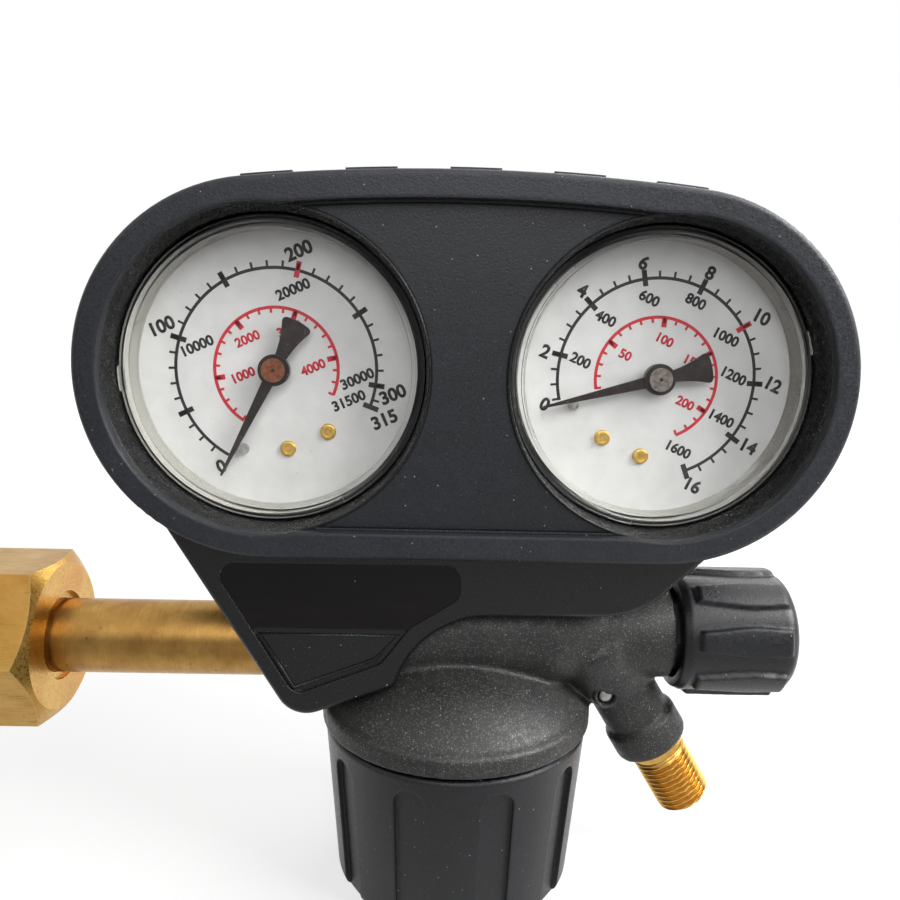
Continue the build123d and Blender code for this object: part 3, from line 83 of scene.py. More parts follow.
# Lamps: place, size and power, all turned towards one point
LAMP_AIM = (0.12, 0.0, 0.03)
LAMPS = {
    "key": ((0.76, -0.28, 0.5), 0.45, 8.5),
    "top": ((0.52, 0.05, 0.65), 0.8, 2.4),
    "front": ((0.15, -0.8, 0.5), 0.4, 2.0),
    "back": ((0.45, 0.55, 0.45), 0.5, 2.0),
}

# How bright the background is: for matt surfaces, and for gloss in front and elsewhere
SOFT_SKY = 0.11
DIM_SKY = 0.3
WHITE_SKY = 1.0

# Floor: half its width, its drop below the object, its glow where it shows, from near the
# origin to far off, and its glow in gloss, from the front to the back
FLOOR_HALF = 4.0
FLOOR_DROP = 0.2 * MM
FLOOR_FADE = (0.3, 0.9)
FLOOR_GLOW = (0.72, 1.0)
SHEEN_FADE = (-0.1, 0.08)
FLOOR_SHEEN = (0.12, 1.0)

# Shading: plain white, samples that round an edge, the angle in degrees that stays sharp,
# and the share of pale colour painted on the window's skirt as the dial's light bent through it
WHITE = (1.0, 1.0, 1.0, 1.0)
BEVEL_SAMPLES = 4
SHARP_ANGLE = 35
SKIRT_PAINTED_LIGHT = 0.32

# Dials: how far the print stands off the face, how thick it is, how far the ticks lie above
# the arcs, and the turn of each gauge in degrees
PRINT_GAP = 0.01 * MM
PRINT_THICKNESS = 0.02 * MM
TICK_LIFT = 0.03 * MM
GAUGE_TURN = {"left": 24.2, "right": -24.2}

# Scales, in millimetres: radius of the arcs, width of the lines, and how far ticks reach
# inwards and outwards from their arc. An arc has a step every so many degrees.
SCALE_R = 21.2
RED_SCALE_R = 13.05
SCALE_LINE = 0.68
MINOR_TICK = 0.5
MAJOR_TICK = 1.1
MINOR_REACH = (0.0, 1.5)
MAJOR_REACH = (-1.5, 1.9)
RED_MINOR_REACH = (-1.15, 0.0)
RED_MAJOR_REACH = (-2.05, 0.0)
ARC_STEP = 2

# Numbers: heights in millimetres, a digit's height in type of size 1, and added boldness
OUTER_DIGITS = 2.7
INNER_DIGITS = 2.1
RED_DIGITS = 1.9
DIGIT_SHARE = 0.7
BOLD = 0.055

# Each dial: its arcs from start to end in degrees, its scales as (value, its angle, degrees
# a unit), the values with ticks, and its numbers as (text, angle, radius)
DIALS = {
    "left": {
        "arc": (240.75, -20.75),
        "scale": (100, 163.25, -0.855),
        "major": (50, 100, 150, 250, 300, 315),
        "limit": (200,),
        "minor": range(20, 315, 10),
        "outer": (("0", 240.5, 24.3), ("100", 160.75, 25.4), ("200", 79.0, 25.1),
                  ("300", -11.0, 25.2), ("315", -24.0, 25.2)),
        "inner": (("10000", 165.0, 17.3), ("20000", 78.0, 17.1), ("30000", -5.5, 17.2),
                  ("31500", -22.5, 16.6)),
        "red_arc": (237.5, -23.25),
        "red_scale": (1000, 189.25, -0.05888),
        "red_major": (1000, 2000, 3000, 4000),
        "red_minor": range(200, 4700, 200),
        "red": (("1000", 191.6, 7.27), ("2000", 134.1, 8.69), ("3000", 72.0, 9.0),
                ("4000", 4.2, 7.78)),
    },
    "right": {
        "arc": (193.75, -69.25),
        "scale": (2, 167.5, -16.9),
        "major": (2, 4, 6, 8, 12, 14, 16),
        "limit": (10,),
        "minor": [number / 2 for number in range(1, 32)],
        "outer": (("0", 194.5, 24.5), ("2", 168.0, 24.6), ("4", 133.0, 24.6), ("6", 99.75, 24.4),
                  ("8", 65.75, 24.5), ("10", 32.0, 25.5), ("12", -1.75, 25.3),
                  ("14", -34.25, 25.4), ("16", -68.0, 25.0)),
        "inner": (("200", 168.25, 16.8), ("400", 133.0, 16.9), ("600", 98.5, 17.0),
                  ("800", 65.75, 18.0), ("1000", 32.5, 17.0), ("1200", 3.25, 16.6),
                  ("1400", -29.5, 16.8), ("1600", -69.5, 16.3)),
        "red_arc": (191.25, -67.0),
        "red_scale": (50, 143.5, -1.1684),
        "red_major": (50, 100, 150, 200),
        "red_minor": range(10, 240, 10),
        "red": (("50", 144.9, 8.46), ("100", 81.5, 8.35), ("150", 26.5, 8.4), ("200", -37.8, 8.37)),
    },
}

# Turned pieces: how near two points are one
WELD = 1e-7

# Threads: pitch and depth of both, the share of a pitch's slope that its root and its flank
# take, how far the hose thread runs in from its neck, how steeply the nut's runs out, and
# facets along a pitch and round
OUTLET_PITCH = 1.337 * MM
OUTLET_DEPTH = 0.86 * MM
INLET_PITCH = 1.814 * MM
INLET_DEPTH = 1.1 * MM
THREAD_ROOT = 0.14
THREAD_FLANK = 0.72
THREAD_LEAD = 1.8 * MM
THREAD_RUNOUT = 1.2
THREAD_STEPS = 14
THREAD_COLUMNS = 72

# Hose nipple: neck between thread and casting, spigot inside the casting, chamfer at the
# thread's end, conical seat and bore
NECK = 2.68 * MM
NECK_R = 6.3 * MM
NECK_STOP = 0.1 * MM
SPIGOT = 9 * MM
SPIGOT_R = 5.6 * MM
NIPPLE_CHAMFER = 0.84 * MM
SEAT_R = 4.8 * MM
SEAT_DEPTH = 3.06 * MM
NIPPLE_BORE_R = 3.0 * MM

# Union nut: how near a point is to count as on the bore's wall, or as short of its end
BORE_NEAR = 0.02 * MM
BORE_END_NEAR = 0.01 * MM

# Side knob: outline and hollow, in millimetres from its left end, as (along, radius)
KNOB_PROFILE = ((0.0, 13.0), (0.25, 13.25), (1.7, 13.9), (23.7, 13.9), (24.6, 13.75),
                (25.4, 13.35), (26.0, 12.75), (26.45, 12.0), (26.75, 11.3), (26.9, 10.5))
KNOB_INSIDE = ((26.9, 5.3), (23.7, 5.3), (23.7, 3.65), (9.5, 3.65), (9.5, 11.2), (0.0, 11.2))
KNOB_COLUMNS = 288
KNOB_STEP = 0.5

# Its grip lugs: number, turn of the first in degrees, start and end, half widths at the
# start, at the widest place and at the end, where that place is, crown's radius, and how
# the flanks and the two ends slope, in millimetres
KNOB_LUGS = 8
LUG_TURN = -9.5
LUG_SPAN = (2.9, 24.7)
LUG_HALF = (2.3, 3.35, 2.9)
LUG_WIDEST = 0.6
LUG_CROWN = 15.1
LUG_FLANK_OUT = 0.35
LUG_FLANK = 0.75
LUG_ENDS = (0.9, 1.2)

# Middle of the adjusting knob, in millimetres
ORIGIN_X = 126.6

# Casting: voxels, strength and rounds of smoothing, and the fillet's middle and reach in
# millimetres. The fillet keeps clear of the plug and of the collar behind the outlet.
CASTING_VOXEL = 0.62 * MM
MELT_STRENGTH = 0.5
CASTING_ROUNDS = 2
FILLET_ROUNDS = 18
FILLET_AT = (38.0 + ORIGIN_X, -9.0, -2.0)
FILLET_REACH = 13.0
FILLET_PEAK = 1.4
PLUG_CLEAR = 3.4 * MM
COLLAR_BACK = 15.5 * MM
COLLAR_CLEAR = 2.5 * MM

# Plug: how far its face stands in front of its node, and then the outlines of the face and
# of the casting's lip round it, in millimetres, as (along, radius)
PLUG_DEPTH = 0.55 * MM
PLUG_FACE = ((-3.4, 0.0), (-3.4, 1.0), (-2.6, 1.6), (-0.75, 1.6), (-0.45, 1.5), (-0.2, 1.15),
             (-0.05, 0.6), (0.0, 0.0))
PLUG_LIP = ((-2.4, 1.75), (-0.2, 2.05), (0.12, 2.2), (0.25, 2.45), (0.15, 2.75), (-0.2, 3.0),
            (-2.4, 3.1), (-2.4, 1.75))
PLUG_COLUMNS = 48

# Dark disc on a pointer's cap, painted shade in place of the dimple at its middle, in millimetres,
# as (along, radius)
CAP_SHADE_DISC = ((-0.05, 0.0), (-0.05, 0.42), (0.05, 0.38), (0.07, 0.26), (0.02, 0.14), (0.02, 0.0))
CAP_COLUMNS = 24

# Raised line round the bare panel of the apron: radius, and corners as (x, z) in
# millimetres, with x counted from ORIGIN_X
BORDER_R = 0.4 * MM
BORDER_POINTS = ((-43.6, 7.9), (-36.2, -4.3), (-18.5, 2.5), (-13.6, 7.9))

# Springs and diaphragm: node, body, joint that presses it, and the end that its body holds
FLEXING = (
    ("main_spring", "button", "button_slide", "foot"),
    ("poppet_spring", "valve_pin", "poppet_slide", "foot"),
    ("diaphragm", "body", "poppet_slide", "top"),
)


def rgb(red, green, blue):
    """A colour as an image shows it, from 0 to 255, turned into Blender's linear one."""
    linear = []
    for part in (red, green, blue):
        share = part / 255
        linear.append(share / 12.92 if share <= 0.04045 else ((share + 0.055) / 1.055) ** 2.4)
    return (*linear, 1.0)


def scaled(color, factor):
    """A colour made brighter or darker, at most to white."""
    return tuple(min(1.0, factor * part) for part in color[:3]) + (1.0,)


class NodeKit:
    """Short calls for the nodes of one node tree."""

    def __init__(self, tree):
        self.nodes = tree.nodes
        self.links = tree.links

    def feed(self, socket, value):
        """Link a socket's value, or set it where the value is a constant."""
        if isinstance(value, bpy.types.NodeSocket):
            self.links.new(value, socket)
        else:
            socket.default_value = value

    def part(self, vector, axis):
        """One coordinate of a vector."""
        node = self.nodes.new("ShaderNodeSeparateXYZ")
        self.feed(node.inputs[0], vector)
        return node.outputs[axis]

    def span(self, value, low, high, to_low=0.0, to_high=1.0):
        """Map value from low-high to to_low-to_high, and hold it there outside."""
        node = self.nodes.new("ShaderNodeMapRange")
        for name, given in (("Value", value), ("From Min", low), ("From Max", high),
                            ("To Min", to_low), ("To Max", to_high)):
            self.feed(node.inputs[name], given)
        return node.outputs["Result"]

    def math(self, operation, first, second=0.0):
        """Result of one sum."""
        node = self.nodes.new("ShaderNodeMath")
        node.operation = operation
        self.feed(node.inputs[0], first)
        self.feed(node.inputs[1], second)
        return node.outputs[0]

    def vector_math(self, operation, output, first, second=None):
        """Result of one sum with vectors."""
        node = self.nodes.new("ShaderNodeVectorMath")
        node.operation = operation
        self.feed(node.inputs[0], first)
        if second:
            self.feed(node.inputs[1], second)
        return node.outputs[output]

    def plain_shader(self, kind, color):
        """A shader of one colour."""
        node = self.nodes.new(kind)
        node.inputs["Color"].default_value = color
        return node


class Look(NodeKit):
    """One material, with short calls for its colour, gloss and relief."""

    def __init__(self, name, color, roughness, metallic=0.0):
        self.material = bpy.data.materials.new(name)
        self.material.use_nodes = True
        super().__init__(self.material.node_tree)
        self.shader = self.nodes["Principled BSDF"]
        self.place = self.nodes.new("ShaderNodeTexCoord").outputs["Object"]
        self.normal = None
        self.give("Base Color", color)
        self.give("Roughness", roughness)
        self.give("Metallic", metallic)

    def give(self, name, value):
        """Set or link an input of the material's shader."""
        self.feed(self.shader.inputs[name], value)

    def stretched(self, scale):
        """The object's coordinates, scaled along each axis."""
        node = self.nodes.new("ShaderNodeMapping")
        self.feed(node.inputs["Vector"], self.place)
        node.inputs["Scale"].default_value = scale
        return node.outputs["Vector"]

    def noise(self, size, detail=2.0, rough=0.5, place=None):
        """Cloudy noise with features about size metres across."""
        node = self.nodes.new("ShaderNodeTexNoise")
        self.feed(node.inputs["Vector"], place or self.place)
        node.inputs["Scale"].default_value = 1 / size
        node.inputs["Detail"].default_value = detail
        node.inputs["Roughness"].default_value = rough
        return node.outputs["Fac"]

    def mix(self, share, first, second):
        """A colour share of the way from first to second."""
        node = self.nodes.new("ShaderNodeMix")
        node.data_type = "RGBA"
        colors = [s for s in node.inputs if s.type == "RGBA"]
        self.feed(node.inputs[0], share)
        self.feed(colors[0], first)
        self.feed(colors[1], second)
        return [s for s in node.outputs if s.type == "RGBA"][0]

    def relief(self, height, depth):
        """Bump of depth metres where height goes from 0 to 1, on top of earlier bumps."""
        node = self.nodes.new("ShaderNodeBump")
        node.inputs["Strength"].default_value = 1.0
        node.inputs["Distance"].default_value = depth
        self.feed(node.inputs["Height"], height)
        if self.normal:
            self.feed(node.inputs["Normal"], self.normal)
        self.normal = node.outputs["Normal"]
        self.feed(self.shader.inputs["Normal"], self.normal)
        return self

    def specks(self, size, share, radius=0.3):
        """1 in round dots in a share of the cells of that size, 0 elsewhere."""
        node = self.nodes.new("ShaderNodeTexVoronoi")
        self.feed(node.inputs["Vector"], self.place)
        node.inputs["Scale"].default_value = 1 / size
        dot = self.span(node.outputs["Distance"], radius * 0.6, radius, 1.0, 0.0)
        chosen = self.math("LESS_THAN", self.part(node.outputs["Color"], 0), share)
        return self.math("MULTIPLY", dot, chosen)

    def faint_specks(self, size, share, radius, strength):
        """Specks of less than full strength."""
        return self.math("MULTIPLY", self.specks(size, share, radius), strength)

    def rounded(self, radius):
        """The normal with the edges rounded."""
        node = self.nodes.new("ShaderNodeBevel")
        node.samples = BEVEL_SAMPLES
        node.inputs["Radius"].default_value = radius
        return node.outputs["Normal"]

    def soften(self, radius):
        """Round the shading of edges, before any relief."""
        self.normal = self.rounded(radius)

    def edges(self, radius):
        """1 on sharp edges, 0 away from them."""
        flat = self.nodes.new("ShaderNodeNewGeometry").outputs["Normal"]
        match = self.vector_math("DOT_PRODUCT", "Value", self.rounded(radius), flat)
        return self.span(match, 0.75, 0.97, 1.0, 0.0)

    def mixed_shaders(self, share, first, second):
        """A shader share of the way from first to second."""
        node = self.nodes.new("ShaderNodeMixShader")
        self.feed(node.inputs[0], share)
        self.links.new(first.outputs[0], node.inputs[1])
        self.links.new(second.outputs[0], node.inputs[2])
        return node

    def show(self, shader):
        """Send a shader to the material's surface."""
        self.links.new(shader.outputs[0], self.nodes["Material Output"].inputs["Surface"])


# Materials


def casting_paint():
    """Dark enamel with fine silver flakes and a faint orange peel."""
    look = Look("casting_paint", rgb(58, 58, 57), 0.4)
    cloud = look.span(look.noise(7 * MM, 3), 0.3, 0.7)
    base = look.mix(cloud, rgb(36, 36, 36), rgb(50, 50, 48))
    fine = look.specks(0.36 * MM, 0.5, 0.45)
    coarse = look.specks(0.8 * MM, 0.2, 0.22)
    color = look.mix(look.math("MULTIPLY", fine, 0.45), base, rgb(140, 140, 136))
    color = look.mix(look.math("MULTIPLY", coarse, 0.6), color, rgb(176, 176, 170))
    look.give("Base Color", color)
    look.give("Roughness", look.span(look.noise(1.6 * MM, 2), 0.3, 0.7, 0.42, 0.58))
    look.give("Metallic", look.math("MULTIPLY", fine, 0.35))
    return look.relief(look.noise(0.9 * MM, 2), 0.06 * MM).material


def turned_brass():
    """Machined brass with fine rings round the stem's axis and light tarnish."""
    color = rgb(194, 154, 86)
    dark = rgb(156, 114, 60)
    look = Look("turned_brass", color, 0.3, 1.0)
    rings = look.noise(0.22 * MM, 3, 0.7, look.stretched((1.0, 0.04, 0.04)))
    tarnish = look.span(look.noise(6 * MM, 4, 0.6), 0.35, 0.75)
    spots = look.faint_specks(2.6 * MM, 0.16, 0.16, 0.6)
    base = look.mix(tarnish, color, dark)
    base = look.mix(look.span(rings, 0.35, 0.7, 0.0, 0.45), base, dark)
    base = look.mix(spots, base, rgb(92, 66, 34))
    look.give("Base Color", base)
    look.give("Roughness", look.span(rings, 0.3, 0.7, 0.24, 0.42))
    return look.relief(rings, 0.012 * MM).material


def nut_brass():
    """Nut's brass: milled flats with scratches, and a painted highlight that makes its edges paler.
    """
    look = Look("nut_brass", rgb(188, 152, 96), 0.3, 1.0)
    cloud = look.span(look.noise(9 * MM, 4, 0.6), 0.35, 0.7)
    base = look.mix(cloud, rgb(200, 160, 86), rgb(176, 134, 58))
    strokes = look.noise(0.5 * MM, 4, 0.7, look.stretched((0.07, 1.0, 1.0)))
    scratches = look.span(strokes, 0.56, 0.66)
    base = look.mix(look.math("MULTIPLY", scratches, 0.4), base, rgb(122, 92, 48))
    spots = look.faint_specks(3.2 * MM, 0.1, 0.16, 0.3)
    base = look.mix(spots, base, rgb(96, 70, 36))
    stain = look.span(look.noise(16 * MM, 3), 0.5, 0.65, 0.0, 0.35)
    base = look.mix(stain, base, rgb(192, 124, 68))
    # Painted highlight: the edges get a paler brass, where light would catch them.
    painted_edge_highlight = look.edges(0.5 * MM)
    look.give("Base Color", look.mix(painted_edge_highlight, base, rgb(214, 180, 118)))
    look.give("Roughness", look.span(strokes, 0.3, 0.7, 0.2, 0.44))
    look.relief(strokes, 0.02 * MM)
    return look.relief(look.noise(3 * MM, 2), 0.05 * MM).material


def thread_brass():
    """Golden brass of the hose thread, a little cloudy."""
    look = Look("thread_brass", rgb(214, 166, 88), 0.3, 1.0)
    cloud = look.span(look.noise(1.8 * MM, 3), 0.3, 0.7)
    look.give("Base Color", look.mix(cloud, rgb(226, 182, 100), rgb(208, 160, 80)))
    look.give("Roughness", look.span(look.noise(0.5 * MM, 2), 0.3, 0.7, 0.28, 0.4))
    return look.relief(look.noise(0.6 * MM, 2), 0.004 * MM).material


def steel():
    """Brushed steel with dull spots."""
    look = Look("steel", rgb(176, 176, 172), 0.32, 1.0)
    brushed = look.noise(0.2 * MM, 3, 0.6, look.stretched((1.0, 0.2, 1.0)))
    spots = look.span(look.noise(1.6 * MM, 3), 0.55, 0.75)
    look.give("Base Color", look.mix(spots, rgb(178, 178, 174), rgb(128, 124, 116)))
    look.give("Roughness", look.span(brushed, 0.3, 0.7, 0.24, 0.44))
    return look.relief(brushed, 0.01 * MM).material


def grained_plastic(name, color, dusty, roughness, grain, depth, soft=0.6):
    """Moulded black plastic with a fine grain, hazy patches and white dust."""
    look = Look(name, color, roughness)
    haze = look.span(look.noise(11 * MM, 4, 0.6), 0.4, 0.75, 0.15, 0.6)
    surface = look.noise(grain, 3, 0.65)
    base = look.mix(haze, color, scaled(color, 2.2))
    base = look.mix(look.span(surface, 0.35, 0.65, 0.7, 0.0), base, scaled(color, 0.55))
    dust = look.faint_specks(1.7 * MM, dusty, 0.1, 0.7)
    base = look.mix(dust, base, rgb(180, 182, 188))
    lint = look.faint_specks(0.6 * MM, 0.5 * dusty, 0.16, 0.45)
    look.give("Base Color", look.mix(lint, base, rgb(150, 152, 158)))
    look.give("Roughness", look.span(surface, 0.3, 0.7, roughness - 0.12, roughness + 0.12))
    look.soften(soft * MM)
    return look.relief(surface, depth).material


def gloss_label():
    """Smooth bare plate with a faint brown cast and rub marks."""
    look = Look("gloss_label", rgb(24, 19, 19), 0.12)
    rubs = look.noise(4 * MM, 5, 0.7, look.stretched((0.3, 1.0, 1.0)))
    base = look.mix(look.span(rubs, 0.4, 0.7), rgb(14, 9, 9), rgb(22, 17, 17))
    dust = look.faint_specks(2.2 * MM, 0.1, 0.07, 0.7)
    look.give("Base Color", look.mix(dust, base, rgb(180, 180, 184)))
    look.give("Roughness", look.span(rubs, 0.35, 0.75, 0.1, 0.22))
    look.give("Specular IOR Level", 0.25)
    return look.relief(look.noise(2.5 * MM, 2), 0.006 * MM).material


def seal_rubber():
    """Matt rubber of the rings."""
    look = Look("seal_rubber", rgb(40, 40, 41), 0.62)
    look.give("Base Color", look.mix(look.noise(1.2 * MM), rgb(34, 34, 35), rgb(50, 50, 51)))
    return look.relief(look.noise(0.3 * MM), 0.01 * MM).material


def dial_white():
    """Matt white enamel with barely seen mottling."""
    look = Look("dial_white", rgb(226, 225, 224), 0.55)
    mottle = look.span(look.noise(5 * MM, 4), 0.35, 0.7)
    base = look.mix(mottle, rgb(222, 221, 220), rgb(212, 211, 210))
    motes = look.faint_specks(3.0 * MM, 0.12, 0.06, 0.5)
    look.give("Base Color", look.mix(motes, base, rgb(140, 136, 132)))
    return look.relief(look.noise(0.4 * MM), 0.004 * MM).material


def print_ink(name, color, pale):
    """Screen-printed ink, a little uneven."""
    look = Look(name, color, 0.45)
    look.give("Base Color", look.mix(look.span(look.noise(0.5 * MM, 3), 0.4, 0.8), color, pale))
    return look.relief(look.noise(0.15 * MM), 0.002 * MM).material


def pointer_black():
    """Dark lacquer on the pointers, with dust that catches the light."""
    look = Look("pointer_black", rgb(30, 22, 21), 0.3)
    haze = look.span(look.noise(1.4 * MM, 4), 0.45, 0.75)
    base = look.mix(haze, rgb(26, 19, 18), rgb(56, 44, 42))
    dust = look.faint_specks(0.7 * MM, 0.3, 0.14, 0.8)
    look.give("Base Color", look.mix(dust, base, rgb(196, 184, 176)))
    return look.relief(look.noise(0.3 * MM), 0.006 * MM).material


def bare_metal(name, color, dark, roughness):
    """Plain turned metal for the gauges' small pieces, with a painted highlight along its edges."""
    look = Look(name, color, roughness, 1.0)
    base = look.mix(look.span(look.noise(0.8 * MM, 3), 0.35, 0.7), color, dark)
    # Painted highlight: edges get a brighter colour, where light would catch them.
    look.give("Base Color", look.mix(look.edges(0.3 * MM), base, scaled(color, 1.35)))
    grain = look.noise(0.2 * MM, 3)
    look.give("Roughness", look.span(grain, 0.3, 0.7, roughness - 0.06, roughness + 0.1))
    return look.relief(grain, 0.006 * MM).material


def case_black():
    """Dark paint of the gauges' cases; on the valve's gland, which is brass, it is painted shade.
    """
    look = Look("case_black", rgb(44, 45, 47), 0.42)
    look.give("Base Color", look.mix(look.noise(4 * MM, 3), rgb(38, 39, 41), rgb(54, 55, 57)))
    return look.relief(look.noise(0.4 * MM), 0.01 * MM).material


def window_clear():
    """Clear moulded window that lets the lamps through to the dial, with pale colour painted on its
    skirt as the dial's light bent through it.
    """
    look = Look("window_clear", WHITE, 0.02)
    look.give("Transmission Weight", 1.0)
    look.give("IOR", 1.36)
    smears = look.span(look.noise(9 * MM, 5, 0.6), 0.5, 0.8, 0.0, 0.05)
    look.give("Roughness", smears)
    look.relief(look.noise(14 * MM, 1), 0.01 * MM)
    facing = look.nodes.new("ShaderNodeNewGeometry").outputs["True Normal"]
    flat = look.math("ABSOLUTE", look.part(facing, 1))
    # Painted light: the skirt gets a pale matt shader, standing in for the dial's light that the
    # clear rim bends.
    pale = look.plain_shader("ShaderNodeBsdfDiffuse", rgb(198, 195, 184))
    haze = look.span(flat, 0.3, 0.8, SKIRT_PAINTED_LIGHT, 0.0)
    skirt = look.mixed_shaders(haze, look.shader, pale)
    clear = look.plain_shader("ShaderNodeBsdfTransparent", (0.94, 0.95, 0.94, 1.0))
    shadow = look.nodes.new("ShaderNodeLightPath").outputs["Is Shadow Ray"]
    look.show(look.mixed_shaders(shadow, skirt, clear))
    return look.material


# Material of each slot
LOOKS = {
    "casting_paint": casting_paint(),
    "brass": turned_brass(),
    "steel": steel(),
    "black_plastic": grained_plastic("moulded_plastic", rgb(12, 13, 15), 0.2, 0.3,
                                     0.45 * MM, 0.014 * MM),
    "gloss_label": gloss_label(),
    "bumper_rubber": grained_plastic("bumper_rubber", rgb(33, 35, 41), 0.3, 0.4,
                                     0.5 * MM, 0.08 * MM, 1.0),
    "seal_rubber": seal_rubber(),
    "dial_white": dial_white(),
    "pointer_black": pointer_black(),
    "window_clear": window_clear(),
    "case_black": case_black(),
    "bronze": bare_metal("copper_cap", rgb(168, 112, 84), rgb(128, 80, 58), 0.34),
}

# Material of each node that differs from its slot
PANEL = grained_plastic("panel_plastic", rgb(25, 27, 32), 0.24, 0.38, 0.4 * MM, 0.08 * MM)
KNOB = grained_plastic("knob_plastic", rgb(21, 22, 25), 0.3, 0.36, 0.5 * MM, 0.06 * MM, 0.9)
GOLD = bare_metal("gold_rivet", rgb(238, 200, 112), rgb(204, 160, 78), 0.34)
NODE_LOOKS = {
    "inlet_nut": nut_brass(),
    "outlet_nipple": thread_brass(),
    "centre_panel": PANEL,
    "adjusting_knob": KNOB,
    "outlet_knob": KNOB,
    "left_dial_rivets": GOLD,
    "right_dial_rivets": GOLD,
    "right_pointer_spindle": bare_metal("silver_cap", rgb(168, 160, 152), rgb(120, 110, 104), 0.3),
    # Painted shade: the brass gland sits in shadow by the knob, so it gets dark paint in place of
    # brass.
    "valve_gland": LOOKS["case_black"],
}

# Inks of the dials
BLACK_INK = print_ink("black_ink", rgb(16, 14, 15), rgb(34, 31, 32))
RED_INK = print_ink("red_ink", rgb(196, 20, 38), rgb(212, 52, 64))


def set_looks():
    """Give every CAD node the material of its slot, or its own where it differs."""
    for part in RECORD["subparts"]:
        look = NODE_LOOKS.get(part["node"], LOOKS[part["material_slot"]])
        mesh = NODES[part["node"]].data
        if mesh.materials:
            for number in range(len(mesh.materials)):
                mesh.materials[number] = look
        else:
            mesh.materials.append(look)


# Pieces


def added(name, data):
    """A new object of the scene."""
    thing = bpy.data.objects.new(name, data)
    bpy.context.scene.collection.objects.link(thing)
    return thing


def worked_out(thing):
    """A new mesh of an object, with its modifiers or its text worked out."""
    bpy.context.view_layer.update()
    graph = bpy.context.evaluated_depsgraph_get()
    return bpy.data.meshes.new_from_object(thing.evaluated_get(graph))


def mesh_object(name, shape, look):
    """Turn a bmesh into an object of the scene."""
    mesh = bpy.data.meshes.new(name)
    shape.to_mesh(mesh)
    shape.free()
    mesh.materials.append(look)
    return added(name, mesh)


def smooth_piece(name, shape, look, body):
    """Turn a bmesh into a smooth piece that rides on a body."""
    piece = mesh_object(name, shape, look)
    mesh = piece.data
    mesh.polygons.foreach_set("use_smooth", [True] * len(mesh.polygons))
    mesh.set_sharp_from_angle(angle=radians(SHARP_ANGLE))
    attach(piece, body)
    return piece


def along_axis(origin, axis):
    """A frame whose Z runs along axis from origin."""
    place = Vector(axis).to_track_quat("Z", "Y").to_matrix().to_4x4()
    place.translation = origin
    return place


def in_millimetres(outline):
    """An outline's stations in metres."""
    return [(along * MM, radius * MM) for along, radius in outline]


def lathe(shape, place, stations, columns):
    """Skin a turned form. A station is (distance along, radius), or a function of the
    angle in place of the radius, and the skin closes where the first meets the last."""
    rows = []
    for along, radius in stations:
        row = []
        for number in range(columns):
            angle = 2 * pi * number / columns
            reach = radius(angle) if callable(radius) else radius
            spot = place @ Vector((reach * cos(angle), reach * sin(angle), along))
            row.append(shape.verts.new(spot))
        rows.append(row)
    for first, second in zip(rows, rows[1:]):
        for number in range(columns):
            after = (number + 1) % columns
            shape.faces.new((first[number], first[after], second[after], second[number]))
    return rows


def turned_piece(name, place, stations, columns, look, body):
    """A closed turned form as a smooth piece that rides on a body."""
    shape = bmesh.new()
    lathe(shape, place, stations, columns)
    bmesh.ops.remove_doubles(shape, verts=shape.verts, dist=WELD)
    bmesh.ops.recalc_face_normals(shape, faces=shape.faces)
    return smooth_piece(name, shape, look, body)


def mount(name):
    """A mount of the record, by its name."""
    return next(m for m in RECORD["mounts"] if m["name"] == name)


def eased(share):
    """0 to 1 with soft ends."""
    held = min(1.0, max(0.0, share))
    return held * held * (3 - 2 * held)


# Dials


def dial_middle(side):
    """Middle of a dial's front face."""
    low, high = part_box(f"{side}_dial")
    return Vector(((low.x + high.x) / 2, low.y, (low.z + high.z) / 2))


def dial_point(side, radius, angle, lift=0.0):
    """A point lift metres off the print's plane, angle counted anticlockwise from +X."""
    turn = radians(angle)
    spot = Vector((cos(turn), 0, sin(turn))) * radius * MM
    return dial_middle(side) + spot - Vector((0, PRINT_GAP + lift, 0))


def arc_band(shape, side, radius, start, end):
    """A printed arc from start to end degrees."""
    steps = ceil(abs(end - start) / ARC_STEP)
    rows = []
    for number in range(steps + 1):
        angle = start + (end - start) * number / steps
        rows.append([shape.verts.new(dial_point(side, radius + half, angle))
                     for half in (-SCALE_LINE / 2, SCALE_LINE / 2)])
    for first, second in zip(rows, rows[1:]):
        shape.faces.new((first[0], first[1], second[1], second[0]))


def tick(shape, side, inner, outer, width, angle):
    """A printed line along a radius."""
    across = Vector((-sin(radians(angle)), 0, cos(radians(angle)))) * width * MM / 2
    low = dial_point(side, inner, angle, TICK_LIFT)
    high = dial_point(side, outer, angle, TICK_LIFT)
    corners = [shape.verts.new(spot) for spot in (low - across, high - across, high + across,
                                                  low + across)]
    shape.faces.new(corners)


def ticks(shape, side, values, scale, radius, reach, width):
    """Printed ticks at some values of a scale."""
    start, angle, step = scale
    for value in values:
        tick(shape, side, radius + reach[0], radius + reach[1], width,
             angle + (value - start) * step)


def numeral(shape, side, text, height, angle, radius):
    """A printed number, upright for a gauge that hangs by its own stem."""
    curve = bpy.data.curves.new("numeral", "FONT")
    curve.body = text
    curve.size = height / DIGIT_SHARE
    curve.offset = BOLD * height
    curve.align_x = "CENTER"
    curve.align_y = "CENTER"
    curve.resolution_u = 4
    letter = added("numeral", curve)
    flat = worked_out(letter)
    turn = radians(GAUGE_TURN[side])
    place = Matrix((
        (cos(turn), -sin(turn), 0),
        (0, 0, -1),
        (sin(turn), cos(turn), 0),
    )).to_4x4()
    place.translation = dial_point(side, radius, angle)
    flat.transform(place @ Matrix.Scale(MM, 4))
    shape.from_mesh(flat)
    bpy.data.objects.remove(letter)
    bpy.data.meshes.remove(flat)


def print_piece(name, shape, look):
    """Printed shapes as one thin piece on a dial."""
    piece = mesh_object(name, shape, look)
    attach(piece, "body")
    thick = piece.modifiers.new("thickness", "SOLIDIFY")
    thick.thickness = PRINT_THICKNESS
    thick.offset = 1.0


